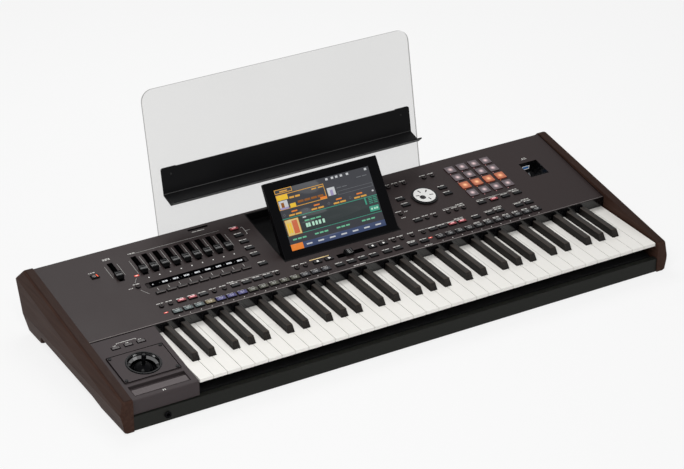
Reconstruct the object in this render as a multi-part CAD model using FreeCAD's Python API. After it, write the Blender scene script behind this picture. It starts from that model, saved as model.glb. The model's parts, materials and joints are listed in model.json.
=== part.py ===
import FreeCAD
import Part

import math
import os

from FreeCAD import Placement, Rotation, Vector

# Arranger keyboard with 61 keys, in millimetres.
# The pieces are modelled from the front left corner of the white keys: x runs right along the keys,
# y runs back and z runs up from the tops of the white keys. The last step moves them to the frame of
# the part, whose origin lies on the floor under the middle of the instrument.

# Fits that several pieces share
OVERRUN = 4.0             # how far a cutting shape runs past what it cuts
RUNNING_GAP = 0.05        # a pin in its bearing
SEAT_GAP = 0.2            # a part laid in its recess
SLIDE_GAP = 0.4           # a button or a cap in its hole
SHEET = 2.0               # folded sheet of the tray, the rear panel, the rail and the key frame
TOUCH = 1e-6              # below this two heights are the same
QUARTER_TURN = 90         # degrees

# Keys
OCTAVES = 5
WHITE_PER_OCTAVE = 7
WHITE_PITCH = 23.5
WHITE_GAP = 1.0           # between two white keys
WHITE_SKIRT = 15.0        # height of a white key's side
WHITE_WALL = 1.6
WHITE_TOP_WALL = 2.6
WHITE_LIP = 5.6           # thickness of the front lip
WHITE_LIP_REACH = 16.0    # how far the lip stands out over the key's front wall
WHITE_EDGE = 1.2          # radius of the lip's upper edge
HEAD_LENGTH = 50.0        # white key in front of the black keys
BLACK_SLOT = 13.7         # room for a black key between two white tails
BLACK_GAP = 0.85          # between a black key and the white tails
BLACK_RISE = 12.0
BLACK_FRONT_GAP = 1.0
BLACK_REAR_GAP = 2.6      # from a black key's cap to the fascia behind it
BLACK_SIDE_DRAFT = 1.2
BLACK_FRONT_DRAFT = 6.0
BLACK_BEVEL = 1.0
PIVOT_Y = 190.0           # the rod that all keys turn on
PIVOT_DEPTH = 8.0         # the rod below the white tops
ROD_RADIUS = 2.0
TAIL_HOOK = 0.8           # how far a key's tail reaches past the middle of the rod
TAIL_BLOCK = 15.0         # solid tail in front of the rod
ROD_OVERHANG = 5.0

# Case
KEY_TOP_HEIGHT = 56.0     # white tops above the floor
FOOT_HEIGHT = 3.2
FOOT_RADIUS = 10.0
FOOT_INSET = 70.0         # feet from the ends of the tray
FOOT_FRONT_Y = 25.0
FOOT_REAR_GAP = 20.0      # rear feet in front of the rear panel's foot
BLOCK_WIDTH = 112.0       # joystick block left of the keys
BLOCK_GAP = 1.0           # between the block and the first key
RIGHT_GAP = 2.5           # between the last key and the right cheek
PANEL_FRONT_Y = 150.6
PANEL_FRONT_Z = 18.0
PANEL_SLOPE = 9.73        # degrees
PANEL_LENGTH = 201.3
PANEL_SHEET = 3.0
PANEL_EDGE = 1.0          # radius of the fold over the keys
FASCIA_GAP = 1.2          # between the fascia's lower edge and the white tops
CHAMFER_RUN = 22.0        # the panel's rear edge turns down to the rear panel
CHAMFER_DROP = 20.5
REAR_LEAN = 31.0          # how far the rear panel leans back from its foot to its top
REAR_FLANGE = 8.0
TRAY_FLANGE = 16.0
TRAY_SIDE_FRONT_Y = 200.0
TRAY_SIDE_REAR_GAP = 20.0
RAIL_FRONT_Y = -3.0
RAIL_TOP_DEPTH = 28.75    # rail's top below the white tops
RAIL_FLANGE = 10.0

# End cheeks
CHEEK_THICKNESS = 20.75
CHEEK_FRONT_Y = -5.0
CHEEK_FRONT_TOP_RISE = 0.8  # a cheek's front above the white tops
CHEEK_GROUND_GAP = 3.0
CHEEK_REACH = 0.8         # how far a cheek stands out behind the rear panel
CHEEK_PROUD = 2.5         # how far a cheek stands above the panel's rear edge
CHEEK_NOSE = 6.0          # radius of the front top corner
CHEEK_RIDGE_DEPTH = 23.0  # the thickest line, below the white tops
CHEEK_TOP_LEAN = 5.0       # thickness lost at the top edge
CHEEK_SHOULDER = 24.0      # height of the leaning band under the top edge
CHEEK_FOOT_LEAN = 5.4      # thickness lost at the foot
CHEEK_HEM_RUN = 4.0        # bevel under the outer lower edge
CHEEK_HEM_RISE = 2.2
CHEEK_EDGE = 5.0          # radius along the upper outer edge
CHEEK_REAR_ROUND = 9.0    # radius of the rear top corner
FRONT_FOOT_LENGTH = 68.0
ARCH_FRONT_RUN = 42.0
ARCH_FRONT_RISE = 8.0
ARCH_REAR_RISE = 16.5
ARCH_REAR_RUN = 7.0
REAR_FOOT_LENGTH = 44.0

# Key bed
FRAME_FLOOR_DEPTH = 30.0  # frame's floor below the white tops
FRAME_FRONT_Y = 14.0
FRAME_FOOT = 16.0
FRAME_REAR_LEG_Y = 168.0
UPSTAND_GAP = 0.1
LUG_THICKNESS = 1.6
LUG_REACH = 8.0
BOARD_THICKNESS = 1.6
CONTACT_BOARD_Y = 88.0
CONTACT_BOARD_WIDTH = 54.0
CONTACT_STRIP_WIDTH = 20.0
CONTACT_STRIP_HEIGHT = 7.9

# Joystick block, measured up its sloping top from the front face
BLOCK_SLOPE = 7.5         # degrees
BLOCK_FRONT_TOP_DEPTH = 2.95
BLOCK_REAR_GAP = 0.6
BLOCK_WALL = 3.0
BLOCK_NOSE = 2.5
BLOCK_FOOT_GAP = 1.5      # groove between the block and the rail
BLOCK_LEG_FRONT_Y = 16.0
BLOCK_LEG_REAR_Y = 140.0
STICK_UP = 73.8           # the joystick's middle
STICK_PLATE_WIDTH = 95.0
STICK_PLATE_LENGTH = 67.4
STICK_PLATE_SHEET = 1.5
STICK_PLATE_CORNER = 2.0
STICK_COLLAR_RADIUS = 28.2
STICK_COLLAR_RISE = 1.2
STICK_RIM = 2.0           # level rim of the collar
STICK_BOWL_DEPTH = 8.5    # from the rim down to the mouth
STICK_BOWL_SAG = 1.6      # how far the bowl's wall bellies out
STICK_BOWL_WALL = 1.6
STICK_MOUTH_RADIUS = 20.0
STICK_DOME_RADIUS = 18.0
STICK_PIVOT_DEPTH = 19.0
STICK_SHAFT_RADIUS = 3.0
STICK_LENGTH = 35.5       # from the pivot to the top of the knob
STICK_KNOB_RADIUS = 3.8
STICK_KNOB_HEIGHT = 11.0
STICK_KNOB_EDGE = 1.6
GIMBAL_THICKNESS = 3.0
GIMBAL_HEIGHT = 6.0
GIMBAL_GAP = 0.8
GIMBAL_PIN_RADIUS = 1.5
GIMBAL_PIN_LENGTH = 4.0
GIMBAL_LUG = 7.0
RIBBON_UP = 17.8
RIBBON_WIDTH = 90.0
RIBBON_LENGTH = 12.8
RIBBON_SHEET = 0.8
RIBBON_SINK = 1.2
RIBBON_MARGIN = 3.0       # recess in front of the strip
RIBBON_END_MARGIN = 2.0   # recess beyond each end of the strip
TRENCH_LENGTH = 8.6       # deep groove behind the strip
TRENCH_DEPTH = 6.0
TRENCH_WALL = 1.5
BLOCK_BUTTON_UP = 125.4
BLOCK_BUTTON_PITCH = 21.3
BLOCK_BUTTON_WIDTH = 13.0
BLOCK_BUTTON_LENGTH = 6.0
BLOCK_BUTTON_RISE = 0.9

# Screws
SCREW_RADIUS = 1.5
SCREW_HEAD_RADIUS = 2.8
SCREW_HEAD_HEIGHT = 1.2
SCREW_LENGTH = 4.0
SCREW_GAP = 0.15
PLATE_SCREW_INSET = 5.0
REAR_SCREW_COUNT = 10
REAR_SCREW_UP = 10.0

# Buttons on the panel
COLUMN_PITCH = 19.0
FIRST_COLUMN_X = 47.8
BUTTON_RISE = 2.2
BUTTON_DEPTH = 7.0        # a button's foot below the panel's top
BUTTON_BEVEL = 0.5
BUTTON_FLANGE = 0.8
BUTTON_FLANGE_HEIGHT = 1.5
STYLE_WIDTH = 16.2
STYLE_LENGTH = 9.0
FUNCTION_WIDTH = 15.0
FUNCTION_LENGTH = 6.6
FADER_BUTTON_WIDTH = 16.2
FADER_BUTTON_LENGTH = 5.4
ROUND_RADIUS = 4.0
ROUND_EDGE = 0.8
POWER_WIDTH = 13.0
POWER_LENGTH = 9.0
PAD_SIZE = 17.0
PAD_PITCH = 23.7
PAD_RISE = 1.6
PAD_CORNER = 1.2
PADS_EACH_WAY = 4

# Rows up the panel from its front edge, as shares of its length
FRONT_ROW_SHARE = 0.0745
STYLE_LAMP_ROW_SHARE = 0.0969
UPPER_ROW_SHARE = 0.1803
DISPLAY_AXIS_SHARE = 0.314
MIDDLE_ROW_SHARE = 0.3368
STRIP_ROW_SHARE = 0.4521
MODE_ROW_SHARE = 0.47
POCKET_FRONT_SHARE = 0.4769
PAD_FIRST_ROW_SHARE = 0.4848
MODE_LAMP_ROW_SHARE = 0.6011
DIAL_ROW_SHARE = 0.6016
FADER_MIDDLE_SHARE = 0.7103
MASTER_MIDDLE_SHARE = 0.7079
POWER_ROW_SHARE = 0.7178
REAR_ROW_SHARE = 0.8321
SIDE_COLUMN_PITCH_SHARE = 0.0909
DIAL_BUTTON_PITCH = 17.6

# Places along the rows, in columns counted from the first style button
STYLE_LEFT_COUNT = 15
STYLE_RIGHT_COUNT = 11
STYLE_RIGHT_SHARE = 25.42
CENTRE_SHARES = (15.39, 16.53, 17.64, 18.73, 20.05, 21.15, 22.64, 23.80)
UPPER_SHARES = (0.93, 1.95, 2.97, 5.95, 7.00, 8.03, 9.04, 13.81, 14.93, 19.22, 20.30,
                25.37, 26.34, 27.33, 28.33, 29.82, 31.30, 32.27, 34.33, 35.36)
UPPER_ROUND_SHARES = (-0.90, -0.07, 3.97, 4.91, 9.93, 11.81, 12.63, 21.36, 22.17, 23.22, 24.36)
MIDDLE_ROUND_SHARES = (25.76, 26.59, 27.96, 28.78, 29.55)
REAR_ROUND_SHARES = (24.93, 25.77, 26.57, 28.67, 29.51)
SIDE_COLUMN_SHARE = 9.46
SIDE_COLUMN_COUNT = 5
MIDDLE_FUNCTION_SHARE = 24.84
DIAL_BUTTON_SHARES = (25.02, 29.40)
MODE_ROUND_SHARES = (-1.53, 23.88)
POWER_SHARE = -4.20
DIAL_SHARE = 27.19
PAD_FIRST_SHARE = 31.47

# Faders
FADER_COUNT = 9
FADER_PITCH = 19.05
FADER_FIRST_X = 45.2
FADER_TRAVEL = 44.0
FADER_REST = -13.0        # where a cap is left, from the middle of its slot
MASTER_X = 3.2
MASTER_REST = -12.0
BALANCE_X = 371.8
BALANCE_REST = -3.3
SLOT_WIDTH = 9.6
TRACK_WIDTH = 15.4
TRACK_HEIGHT = 9.4
TRACK_WALL = 4.0
GROOVE_WIDTH = 2.4
GROOVE_DEPTH = 7.0
CAP_WIDTH = 11.2
CAP_LENGTH = 15.5
CAP_LIFT = 0.6            # cap's lower edge above the panel
CAP_HEIGHT = 6.5
CAP_DRAFT = 1.6
CAP_DIP_RADIUS = 11.0
CAP_DIP = 2.2
STEM_WIDTH = 1.6
STEM_LENGTH = 5.0
STEM_DEPTH = 8.0

# Data dial
DIAL_RADIUS = 22.5
DIAL_TOP_RADIUS = 19.7
DIAL_SKIRT_HEIGHT = 2.4
DIAL_HEIGHT = 3.2
DIAL_LIFT = 0.4
DIAL_SHAFT_RADIUS = 3.0
DIAL_SHAFT_DEPTH = 11.0
DIMPLE_RADIUS = 5.5
DIMPLE_DEPTH = 1.2
DIMPLE_OFFSET = 7.0
DIMPLE_TURN = -144.0      # degrees round from the right

# Fader display and lamps
STRIP_LENGTH = 180.0
STRIP_WIDTH = 14.0
STRIP_CORNER = 3.0
STRIP_SINK = 0.3
LAMP_RADIUS = 1.1
LAMP_RISE = 0.3
FADER_LAMP_GAP = 8.5      # from a fader's slot to the middle of its lamp
MODE_LAMP_SHARE = -0.95
STYLE_LAMP_SHARES = (-0.90, 24.56)

# Boards and supply
PANEL_BOARD_FRONT = 6.0
PANEL_BOARD_REAR = 9.3    # boards stop before the panel's rear edge
CENTRE_BOARD_GAP = 3.6    # between the middle board and the display well
BOARD_MARGIN = 10.0
BOARD_END_SHARE = 37.0
BOSS_RADIUS = 3.0
MAIN_BOARD_WIDTH = 400.0
MAIN_BOARD_LENGTH = 92.0
MAIN_BOARD_SHARE = 0.74   # middle of the main board along the keys
MAIN_BOARD_LIFT = 6.0
INNER_REAR_GAP = 18.0     # what stands on the tray stops before the rear panel's foot
CHIP_SIZE = 28.0
CHIP_PITCH = 84.0
CHIP_HEIGHT = 3.0
SINK_HEIGHT = 16.0
SUPPLY_WIDTH = 150.0
SUPPLY_LENGTH = 90.0
SUPPLY_HEIGHT = 25.0
SUPPLY_SHARE = 0.02

# Display and its well
DISPLAY_WIDTH = 213.0
DISPLAY_X = 371.5
DISPLAY_THICKNESS = 13.0
DISPLAY_CORNER = 2.0
DISPLAY_RIM = 5.0         # wall left at the display's upper edge
DISPLAY_TAPER = 14.0      # inset of the back along the upper edge
DISPLAY_RISE = 44.3       # degrees from the panel
DISPLAY_KNUCKLE = 3.0     # round front edge about the hinge pins
SCREEN_SHEET = 1.2
SCREEN_RIM = 1.6
WELL_GAP = 0.6
WELL_WALL = 2.0
WELL_FLOOR_GAP = 1.5
WELL_FLANGE = 6.0
WELL_REAR_MARGIN = 6.3    # panel left behind the well
WELL_END_GAP = 3.6        # from the folded display to the well's rear end
PIN_RADIUS = 1.5
PIN_LENGTH = 9.0
PIN_REACH = 2.2           # pin's end past the display's side

# Panel socket pocket
POCKET_X = 783.3
POCKET_WIDTH = 36.0
POCKET_LENGTH = 41.5
POCKET_DEPTH = 20.0
POCKET_WALL = 2.0
USB_WIDTH = 14.5
USB_HEIGHT = 7.2
USB_LENGTH = 16.0
USB_WALL = 1.0
USB_CAVITY = 12.0
USB_TONGUE = 1.9
USB_TONGUE_GAP = 1.0      # beside the tongue
USB_IN_POCKET_SHARE = 0.46
USB_DEPTH_SHARE = 0.60

# Sockets on the rear panel
SOCKET_UP = 45.0
JACK_BORE_RADIUS = 3.25
JACK_BORE_DEPTH = 24.0
JACK_NOSE_RADIUS = 5.2
JACK_NOSE = 2.4
JACK_BODY = 14.0
JACK_BODY_LENGTH = 26.0
JACK_SHARES = (0.42, 0.46, 0.52, 0.56, 0.62, 0.66)
PHONES_OFFSET = 0.5       # headphone socket from the middle of the joystick block
PHONES_DEPTH = 42.0
MIDI_SHARES = (0.74, 0.78, 0.82)
MIDI_RADIUS = 8.6
MIDI_BORE_RADIUS = 7.2
MIDI_BORE_DEPTH = 9.0
MIDI_BODY = 19.0
MIDI_BODY_LENGTH = 14.0
REAR_USB_SHARES = (0.88, 0.91)
INLET_SHARE = 0.08
INLET_WIDTH = 30.0
INLET_HEIGHT = 22.0
INLET_LENGTH = 26.0
INLET_FLANGE = 9.0
INLET_CAVITY_WIDTH = 24.4
INLET_CAVITY_HEIGHT = 16.6
INLET_CAVITY_DEPTH = 18.0
INLET_CORNER = 3.0
BLADE_WIDTH = 2.0
BLADE_HEIGHT = 4.0
BLADE_LENGTH = 14.0
BLADE_PITCH = 7.0
BLADE_LIFT = 2.0

# Music stand
STAND_X = 361.0
STAND_WIDTH = 497.5
STAND_HEIGHT = 243.5
STAND_SHEET = 4.0
STAND_TILT = 11.3         # degrees back from upright
STAND_SEAT = 9.3          # stand's front face behind the panel's rear edge, along the turned-down edge
STAND_CORNER = 20.0
STAND_LIFT = 0.5
TONGUE_WIDTH = 60.0
TONGUE_LENGTH = 24.0
TONGUE_SPREAD = 340.0
SOCKET_WALL = 2.0
LEDGE_X = 363.2
LEDGE_LENGTH = 468.4
LEDGE_FOLD = 65.2
LEDGE_WEB = 45.3
LEDGE_DEPTH = 27.0
LEDGE_DROP = 25.0         # degrees that the shelf falls from square to the web
LEDGE_LIP = 14.0
LEDGE_FLARE = 32.0        # degrees that the lip rises from square to the web
LEDGE_TAB = 27.0          # raised end of the web
LEDGE_TAB_RISE = 0.9
LEDGE_CORNER = 4.0

# Places that follow from the sizes above
WHITE_COUNT = OCTAVES * WHITE_PER_OCTAVE + 1
KEY_SPAN = WHITE_COUNT * WHITE_PITCH
LEFT_X = -(BLOCK_GAP + BLOCK_WIDTH)
RIGHT_X = KEY_SPAN + RIGHT_GAP
BLOCK_X = -(BLOCK_GAP + BLOCK_WIDTH / 2)
CASE_X = (LEFT_X, RIGHT_X)
TRAY_Z = FOOT_HEIGHT - KEY_TOP_HEIGHT
TRAY_TOP_Z = TRAY_Z + SHEET
PANEL_RUN = PANEL_LENGTH * math.cos(math.radians(PANEL_SLOPE))
PANEL_CLIMB = PANEL_LENGTH * math.sin(math.radians(PANEL_SLOPE))
PANEL_REAR = (PANEL_FRONT_Y + PANEL_RUN, PANEL_FRONT_Z + PANEL_CLIMB)
CHAMFER_END = (PANEL_REAR[0] + CHAMFER_RUN, PANEL_REAR[1] - CHAMFER_DROP)
CHAMFER_ANGLE = math.atan2(CHAMFER_DROP, CHAMFER_RUN)
REAR_FOOT = (CHAMFER_END[0] - REAR_LEAN, TRAY_Z)
REAR_ANGLE = math.degrees(math.atan2(REAR_LEAN, CHAMFER_END[1] - TRAY_Z))
PANEL_PROFILE = [(PANEL_FRONT_Y, FASCIA_GAP), (PANEL_FRONT_Y, PANEL_FRONT_Z), PANEL_REAR, CHAMFER_END]
FRONT_ROW = FRONT_ROW_SHARE * PANEL_LENGTH
UPPER_ROW = UPPER_ROW_SHARE * PANEL_LENGTH
MIDDLE_ROW = MIDDLE_ROW_SHARE * PANEL_LENGTH
PAD_FIRST_ROW = PAD_FIRST_ROW_SHARE * PANEL_LENGTH
DIAL_ROW = DIAL_ROW_SHARE * PANEL_LENGTH
REAR_ROW = REAR_ROW_SHARE * PANEL_LENGTH
POWER_ROW = POWER_ROW_SHARE * PANEL_LENGTH
MODE_ROW = MODE_ROW_SHARE * PANEL_LENGTH
STRIP_ROW = STRIP_ROW_SHARE * PANEL_LENGTH
SIDE_COLUMN_PITCH = SIDE_COLUMN_PITCH_SHARE * PANEL_LENGTH
FADER_MIDDLE_ROW = FADER_MIDDLE_SHARE * PANEL_LENGTH
MASTER_MIDDLE_ROW = MASTER_MIDDLE_SHARE * PANEL_LENGTH
FADER_XS = [FADER_FIRST_X + FADER_PITCH * i for i in range(FADER_COUNT)]
SLOT_LENGTH = FADER_TRAVEL + STEM_LENGTH + 2 * SLIDE_GAP
FADER_LAMP_ROW = FADER_MIDDLE_ROW - SLOT_LENGTH / 2 - FADER_LAMP_GAP
MODE_LAMP_ROW = MODE_LAMP_ROW_SHARE * PANEL_LENGTH
STYLE_LAMP_ROW = STYLE_LAMP_ROW_SHARE * PANEL_LENGTH
POCKET_FRONT = POCKET_FRONT_SHARE * PANEL_LENGTH
PANEL_BOARD_LENGTH = PANEL_LENGTH - PANEL_BOARD_FRONT - PANEL_BOARD_REAR
DISPLAY_AXIS_ROW = DISPLAY_AXIS_SHARE * PANEL_LENGTH
WELL_REAR_ROW = PANEL_LENGTH - WELL_REAR_MARGIN
DISPLAY_TOP = WELL_REAR_ROW - WELL_END_GAP - DISPLAY_AXIS_ROW  # display's upper edge from its hinge
INNER_REAR_Y = REAR_FOOT[0] - INNER_REAR_GAP
FOOT_REAR_Y = REAR_FOOT[0] - FOOT_REAR_GAP
TRAY_SIDE_REAR_Y = REAR_FOOT[0] - TRAY_SIDE_REAR_GAP
PHONES_X = BLOCK_X + PHONES_OFFSET
STAND_FOOT = (PANEL_REAR[0] + STAND_SEAT * math.cos(CHAMFER_ANGLE),
              PANEL_REAR[1] - STAND_SEAT * math.sin(CHAMFER_ANGLE))

# Frames in which sloping pieces are drawn level
PANEL = Placement(Vector(0, PANEL_FRONT_Y, PANEL_FRONT_Z), Rotation(Vector(1, 0, 0), PANEL_SLOPE))
BLOCK = Placement(Vector(BLOCK_X, 0, -BLOCK_FRONT_TOP_DEPTH), Rotation(Vector(1, 0, 0), BLOCK_SLOPE))
STAND = Placement(Vector(STAND_X, *STAND_FOOT), Rotation(Vector(1, 0, 0), -STAND_TILT))
DISPLAY = PANEL * Placement(Vector(DISPLAY_X, DISPLAY_AXIS_ROW, -DISPLAY_KNUCKLE),
                            Rotation(Vector(1, 0, 0), DISPLAY_RISE))


def around(middle, length):
    """The two ends of a length laid about its middle."""
    return (middle - length / 2, middle + length / 2)


def box(x, y, z):
    """A block between two ends along each axis."""
    return Part.makeBox(x[1] - x[0], y[1] - y[0], z[1] - z[0], Vector(x[0], y[0], z[0]))


def rounded(x, y, z, radius):
    """A plate between two ends along each axis, with its four upright corners rounded."""
    middles = [(x[1] - radius, y[0] + radius), (x[1] - radius, y[1] - radius),
               (x[0] + radius, y[1] - radius), (x[0] + radius, y[0] + radius)]
    arcs = []
    for turn, (middle_x, middle_y) in enumerate(middles):
        start = QUARTER_TURN * (turn - 1)
        middle = Vector(middle_x, middle_y, z[0])
        arcs.append(Part.makeCircle(radius, middle, Vector(0, 0, 1), start, start + QUARTER_TURN))
    edges = []
    for arc, after in zip(arcs, arcs[1:] + arcs[:1]):
        edges.append(arc)
        edges.append(Part.makeLine(arc.valueAt(arc.LastParameter), after.valueAt(after.FirstParameter)))
    return Part.Face(Part.Wire(edges)).extrude(Vector(0, 0, z[1] - z[0]))


def prism(points, x):
    """An outline in y and z, carried along x."""
    wire = Part.makePolygon([Vector(x[0], y, z) for y, z in list(points) + [points[0]]])
    return Part.Face(wire).extrude(Vector(x[1] - x[0], 0, 0))


def beside(points, distance):
    """A line of points moved to its left by a distance, with mitred corners."""
    courses = []
    for (y, z), (next_y, next_z) in zip(points, points[1:]):
        length = math.hypot(next_y - y, next_z - z)
        courses.append(((next_y - y) / length, (next_z - z) / length))
    moved = []
    for index, (y, z) in enumerate(points):
        before = courses[max(index - 1, 0)]
        after = courses[min(index, len(courses) - 1)]
        reach = distance / (1 + before[0] * after[0] + before[1] * after[1])
        moved.append((y - (before[1] + after[1]) * reach, z + (before[0] + after[0]) * reach))
    return moved


def folded(points, thickness, x):
    """A folded sheet: a line of points given a thickness to its left, carried along x."""
    return prism(list(points) + beside(points, thickness)[::-1], x)


def turned(points):
    """An outline of radii and heights, turned about the upright axis."""
    wire = Part.makePolygon([Vector(r, 0, z) for r, z in list(points) + [points[0]]])
    return Part.Face(wire).revolve(Vector(0, 0, 0), Vector(0, 0, 1))


def pyramid(corners):
    """Solid with four corners."""
    faces = []
    for left_out in range(len(corners)):
        rest = corners[:left_out] + corners[left_out + 1:]
        faces.append(Part.Face(Part.makePolygon(rest + rest[:1])))
    return Part.Solid(Part.Shell(faces))


def rod(radius, x, y, z):
    """A round bar along x."""
    return Part.makeCylinder(radius, x[1] - x[0], Vector(x[0], y, z), Vector(1, 0, 0))


def barrel(radius, y):
    """A round bar along y."""
    return Part.makeCylinder(radius, y[1] - y[0], Vector(0, y[0], 0), Vector(0, 1, 0))


def post(radius, x, y, z):
    """A round upright bar."""
    return Part.makeCylinder(radius, z[1] - z[0], Vector(x, y, z[0]))


def at(shape, placement):
    """A copy of a shape in its place."""
    return shape.transformed(placement.toMatrix(), copy=True)


def moved(shape, x, y, z):
    """A copy of a shape, shifted."""
    return at(shape, Placement(Vector(x, y, z), Rotation()))


def top_edges(shape):
    """The edges around the highest face."""
    top = shape.BoundBox.ZMax
    return [edge for edge in shape.Edges if abs(edge.BoundBox.ZMin - top) < TOUCH]


def joined(shapes):
    """Several shapes as one solid."""
    return shapes[0].fuse(shapes[1:]).removeSplitter()


def group(shapes):
    """Like pieces that share a node."""
    return Part.makeCompound(shapes)


def column(share):
    """A place along the panel, in columns from the first style button."""
    return FIRST_COLUMN_X + share * COLUMN_PITCH


# Keys

def white_places():
    """Each white key of an octave: its head's ends and its tail's ends along x."""
    tails = {}
    for names in ("cde", "fgab"):
        count = len(names)
        tails.update(dict.fromkeys(names, WHITE_PITCH - (count - 1) * BLACK_SLOT / count))
    places = []
    edge = 0
    for index, (name, tail) in enumerate(tails.items()):
        left = index * WHITE_PITCH
        places.append((name, left, edge, edge + tail))
        edge += tail
        if name not in "eb":
            edge += BLACK_SLOT
    return places


def rod_hole():
    """The bearing that every key has for the rod."""
    return rod(ROD_RADIUS + RUNNING_GAP, (-OVERRUN, WHITE_PITCH + OVERRUN), PIVOT_Y, -PIVOT_DEPTH)


def white_key(left, tail_left, tail_right):
    """A hollow white key with a lipped head and a narrower tail hooked on the rod."""
    half_gap = WHITE_GAP / 2
    head = (half_gap, WHITE_PITCH - half_gap)
    tail = (max(tail_left - left, head[0]), min(tail_right - left, head[1]))
    rear = PIVOT_Y + TAIL_HOOK
    outline = [(head[0], 0), (head[1], 0), (head[1], HEAD_LENGTH), (tail[1], HEAD_LENGTH), (tail[1], rear),
               (tail[0], rear), (tail[0], HEAD_LENGTH), (head[0], HEAD_LENGTH)]
    points = []
    for x, y in outline:
        if not points or (x, y) != points[-1]:
            points.append((x, y))
    wire = Part.makePolygon([Vector(x, y, -WHITE_SKIRT) for x, y in points + points[:1]])
    face = Part.Face(wire)
    solid = face.extrude(Vector(0, 0, WHITE_SKIRT)).removeSplitter()
    lip_edge = [edge for edge in solid.Edges
                if all(abs(v.Y) < TOUCH and abs(v.Z) < TOUCH for v in edge.Vertexes)]
    solid = solid.makeFillet(WHITE_EDGE, lip_edge)
    lip_step = box((-OVERRUN, WHITE_PITCH), (-OVERRUN, WHITE_LIP_REACH),
                   (-WHITE_SKIRT - OVERRUN, -WHITE_LIP))
    head_room = box((head[0] + WHITE_WALL, head[1] - WHITE_WALL),
                    (WHITE_LIP_REACH + WHITE_WALL, HEAD_LENGTH - WHITE_WALL),
                    (-WHITE_SKIRT - OVERRUN, -WHITE_TOP_WALL))
    tail_room = box((tail[0] + WHITE_WALL, tail[1] - WHITE_WALL),
                    (HEAD_LENGTH - WHITE_WALL - OVERRUN, PIVOT_Y - TAIL_BLOCK),
                    (-WHITE_SKIRT - OVERRUN, -WHITE_TOP_WALL))
    return solid.cut([lip_step, head_room, tail_room, rod_hole()])


def black_key():
    """A black key: a drafted, bevelled cap on a plain arm hooked on the rod."""
    half = BLACK_SLOT / 2 - BLACK_GAP
    front = HEAD_LENGTH + BLACK_FRONT_GAP
    rear = PANEL_FRONT_Y - BLACK_REAR_GAP
    foot = [(-half, front), (half, front), (half, rear), (-half, rear)]
    top_half = half - BLACK_SIDE_DRAFT
    top_front = front + BLACK_FRONT_DRAFT
    top = [(-top_half, top_front), (top_half, top_front), (top_half, rear), (-top_half, rear)]
    wires = []
    for points, z in ((foot, 0), (top, BLACK_RISE)):
        wires.append(Part.makePolygon([Vector(x, y, z) for x, y in points + points[:1]]))
    cap = Part.makeLoft(wires, True, True)
    cap = cap.makeChamfer(BLACK_BEVEL, top_edges(cap))
    arm = box((-half, half), (front, PIVOT_Y + TAIL_HOOK), (-WHITE_SKIRT, 0))
    room = box(around(0, 2 * (half - WHITE_WALL)), (top_front, PIVOT_Y - TAIL_BLOCK),
               (-WHITE_SKIRT - OVERRUN, -WHITE_TOP_WALL))
    cap_room = box(around(0, 2 * (top_half - WHITE_WALL)), (top_front, rear - WHITE_WALL),
                   (-WHITE_SKIRT - OVERRUN, BLACK_RISE - WHITE_TOP_WALL))
    bearing = rod(ROD_RADIUS + RUNNING_GAP, (-WHITE_PITCH, WHITE_PITCH), PIVOT_Y, -PIVOT_DEPTH)
    return joined([cap, arm]).cut([room, cap_room, bearing])


def keys():
    """All keys: one group for each white moulding, and the black keys."""
    octave = WHITE_PER_OCTAVE * WHITE_PITCH
    places = white_places()
    groups = {}
    for name, left, tail_left, tail_right in places:
        key = white_key(left, tail_left, tail_right)
        groups[name + "_keys"] = [moved(key, left + octave * i, 0, 0) for i in range(OCTAVES)]
    top_c = white_key(0, 0, WHITE_PITCH)
    groups["c_keys"].append(moved(top_c, octave * OCTAVES, 0, 0))
    black = black_key()
    blacks = []
    for i in range(OCTAVES):
        for name, left, tail_left, tail_right in places:
            if name not in "eb":
                blacks.append(moved(black, octave * i + tail_right + BLACK_SLOT / 2, 0, 0))
    groups["black_keys"] = blacks
    return {name: group(solids) for name, solids in groups.items()}


# Key bed

def key_frame():
    """Folded frame under the keys, with lugs that hold the ends of the rod."""
    upstand_y = PIVOT_Y + ROD_RADIUS + UPSTAND_GAP
    floor_z = -FRAME_FLOOR_DEPTH
    line = [(FRAME_FRONT_Y + FRAME_FOOT, TRAY_TOP_Z), (FRAME_FRONT_Y, TRAY_TOP_Z), (FRAME_FRONT_Y, floor_z),
            (upstand_y, floor_z), (upstand_y, 0)]
    rear_leg = [(FRAME_REAR_LEG_Y, floor_z - SHEET), (FRAME_REAR_LEG_Y, TRAY_TOP_Z),
                (FRAME_REAR_LEG_Y + FRAME_FOOT, TRAY_TOP_Z)]
    pieces = [folded(line, -SHEET, (0, KEY_SPAN)), folded(rear_leg, SHEET, (0, KEY_SPAN))]
    rear = (PIVOT_Y - LUG_REACH, upstand_y + SHEET)
    left = (-ROD_OVERHANG, -ROD_OVERHANG + LUG_THICKNESS)
    right = (RIGHT_X - SEAT_GAP - LUG_THICKNESS, RIGHT_X - SEAT_GAP)
    for lug, arm in ((left, (left[0], 0)), (right, (KEY_SPAN, right[1]))):
        pieces.append(box(lug, rear, (floor_z, 0)))
        pieces.append(box(arm, (upstand_y, upstand_y + SHEET), (floor_z, 0)))
    reach = (-ROD_OVERHANG - OVERRUN, RIGHT_X + OVERRUN)
    return joined(pieces).cut(rod(ROD_RADIUS + RUNNING_GAP, reach, PIVOT_Y, -PIVOT_DEPTH))


def key_contact_board():
    """Contact board on the frame's floor, with its rubber strip."""
    z = -FRAME_FLOOR_DEPTH
    y = (CONTACT_BOARD_Y, CONTACT_BOARD_Y + CONTACT_BOARD_WIDTH)
    board = box((0, KEY_SPAN), y, (z, z + BOARD_THICKNESS))
    strip_z = (z + BOARD_THICKNESS, z + BOARD_THICKNESS + CONTACT_STRIP_HEIGHT)
    strip = box((0, KEY_SPAN), around(sum(y) / 2, CONTACT_STRIP_WIDTH), strip_z)
    return group([board, strip])


# Case

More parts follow.
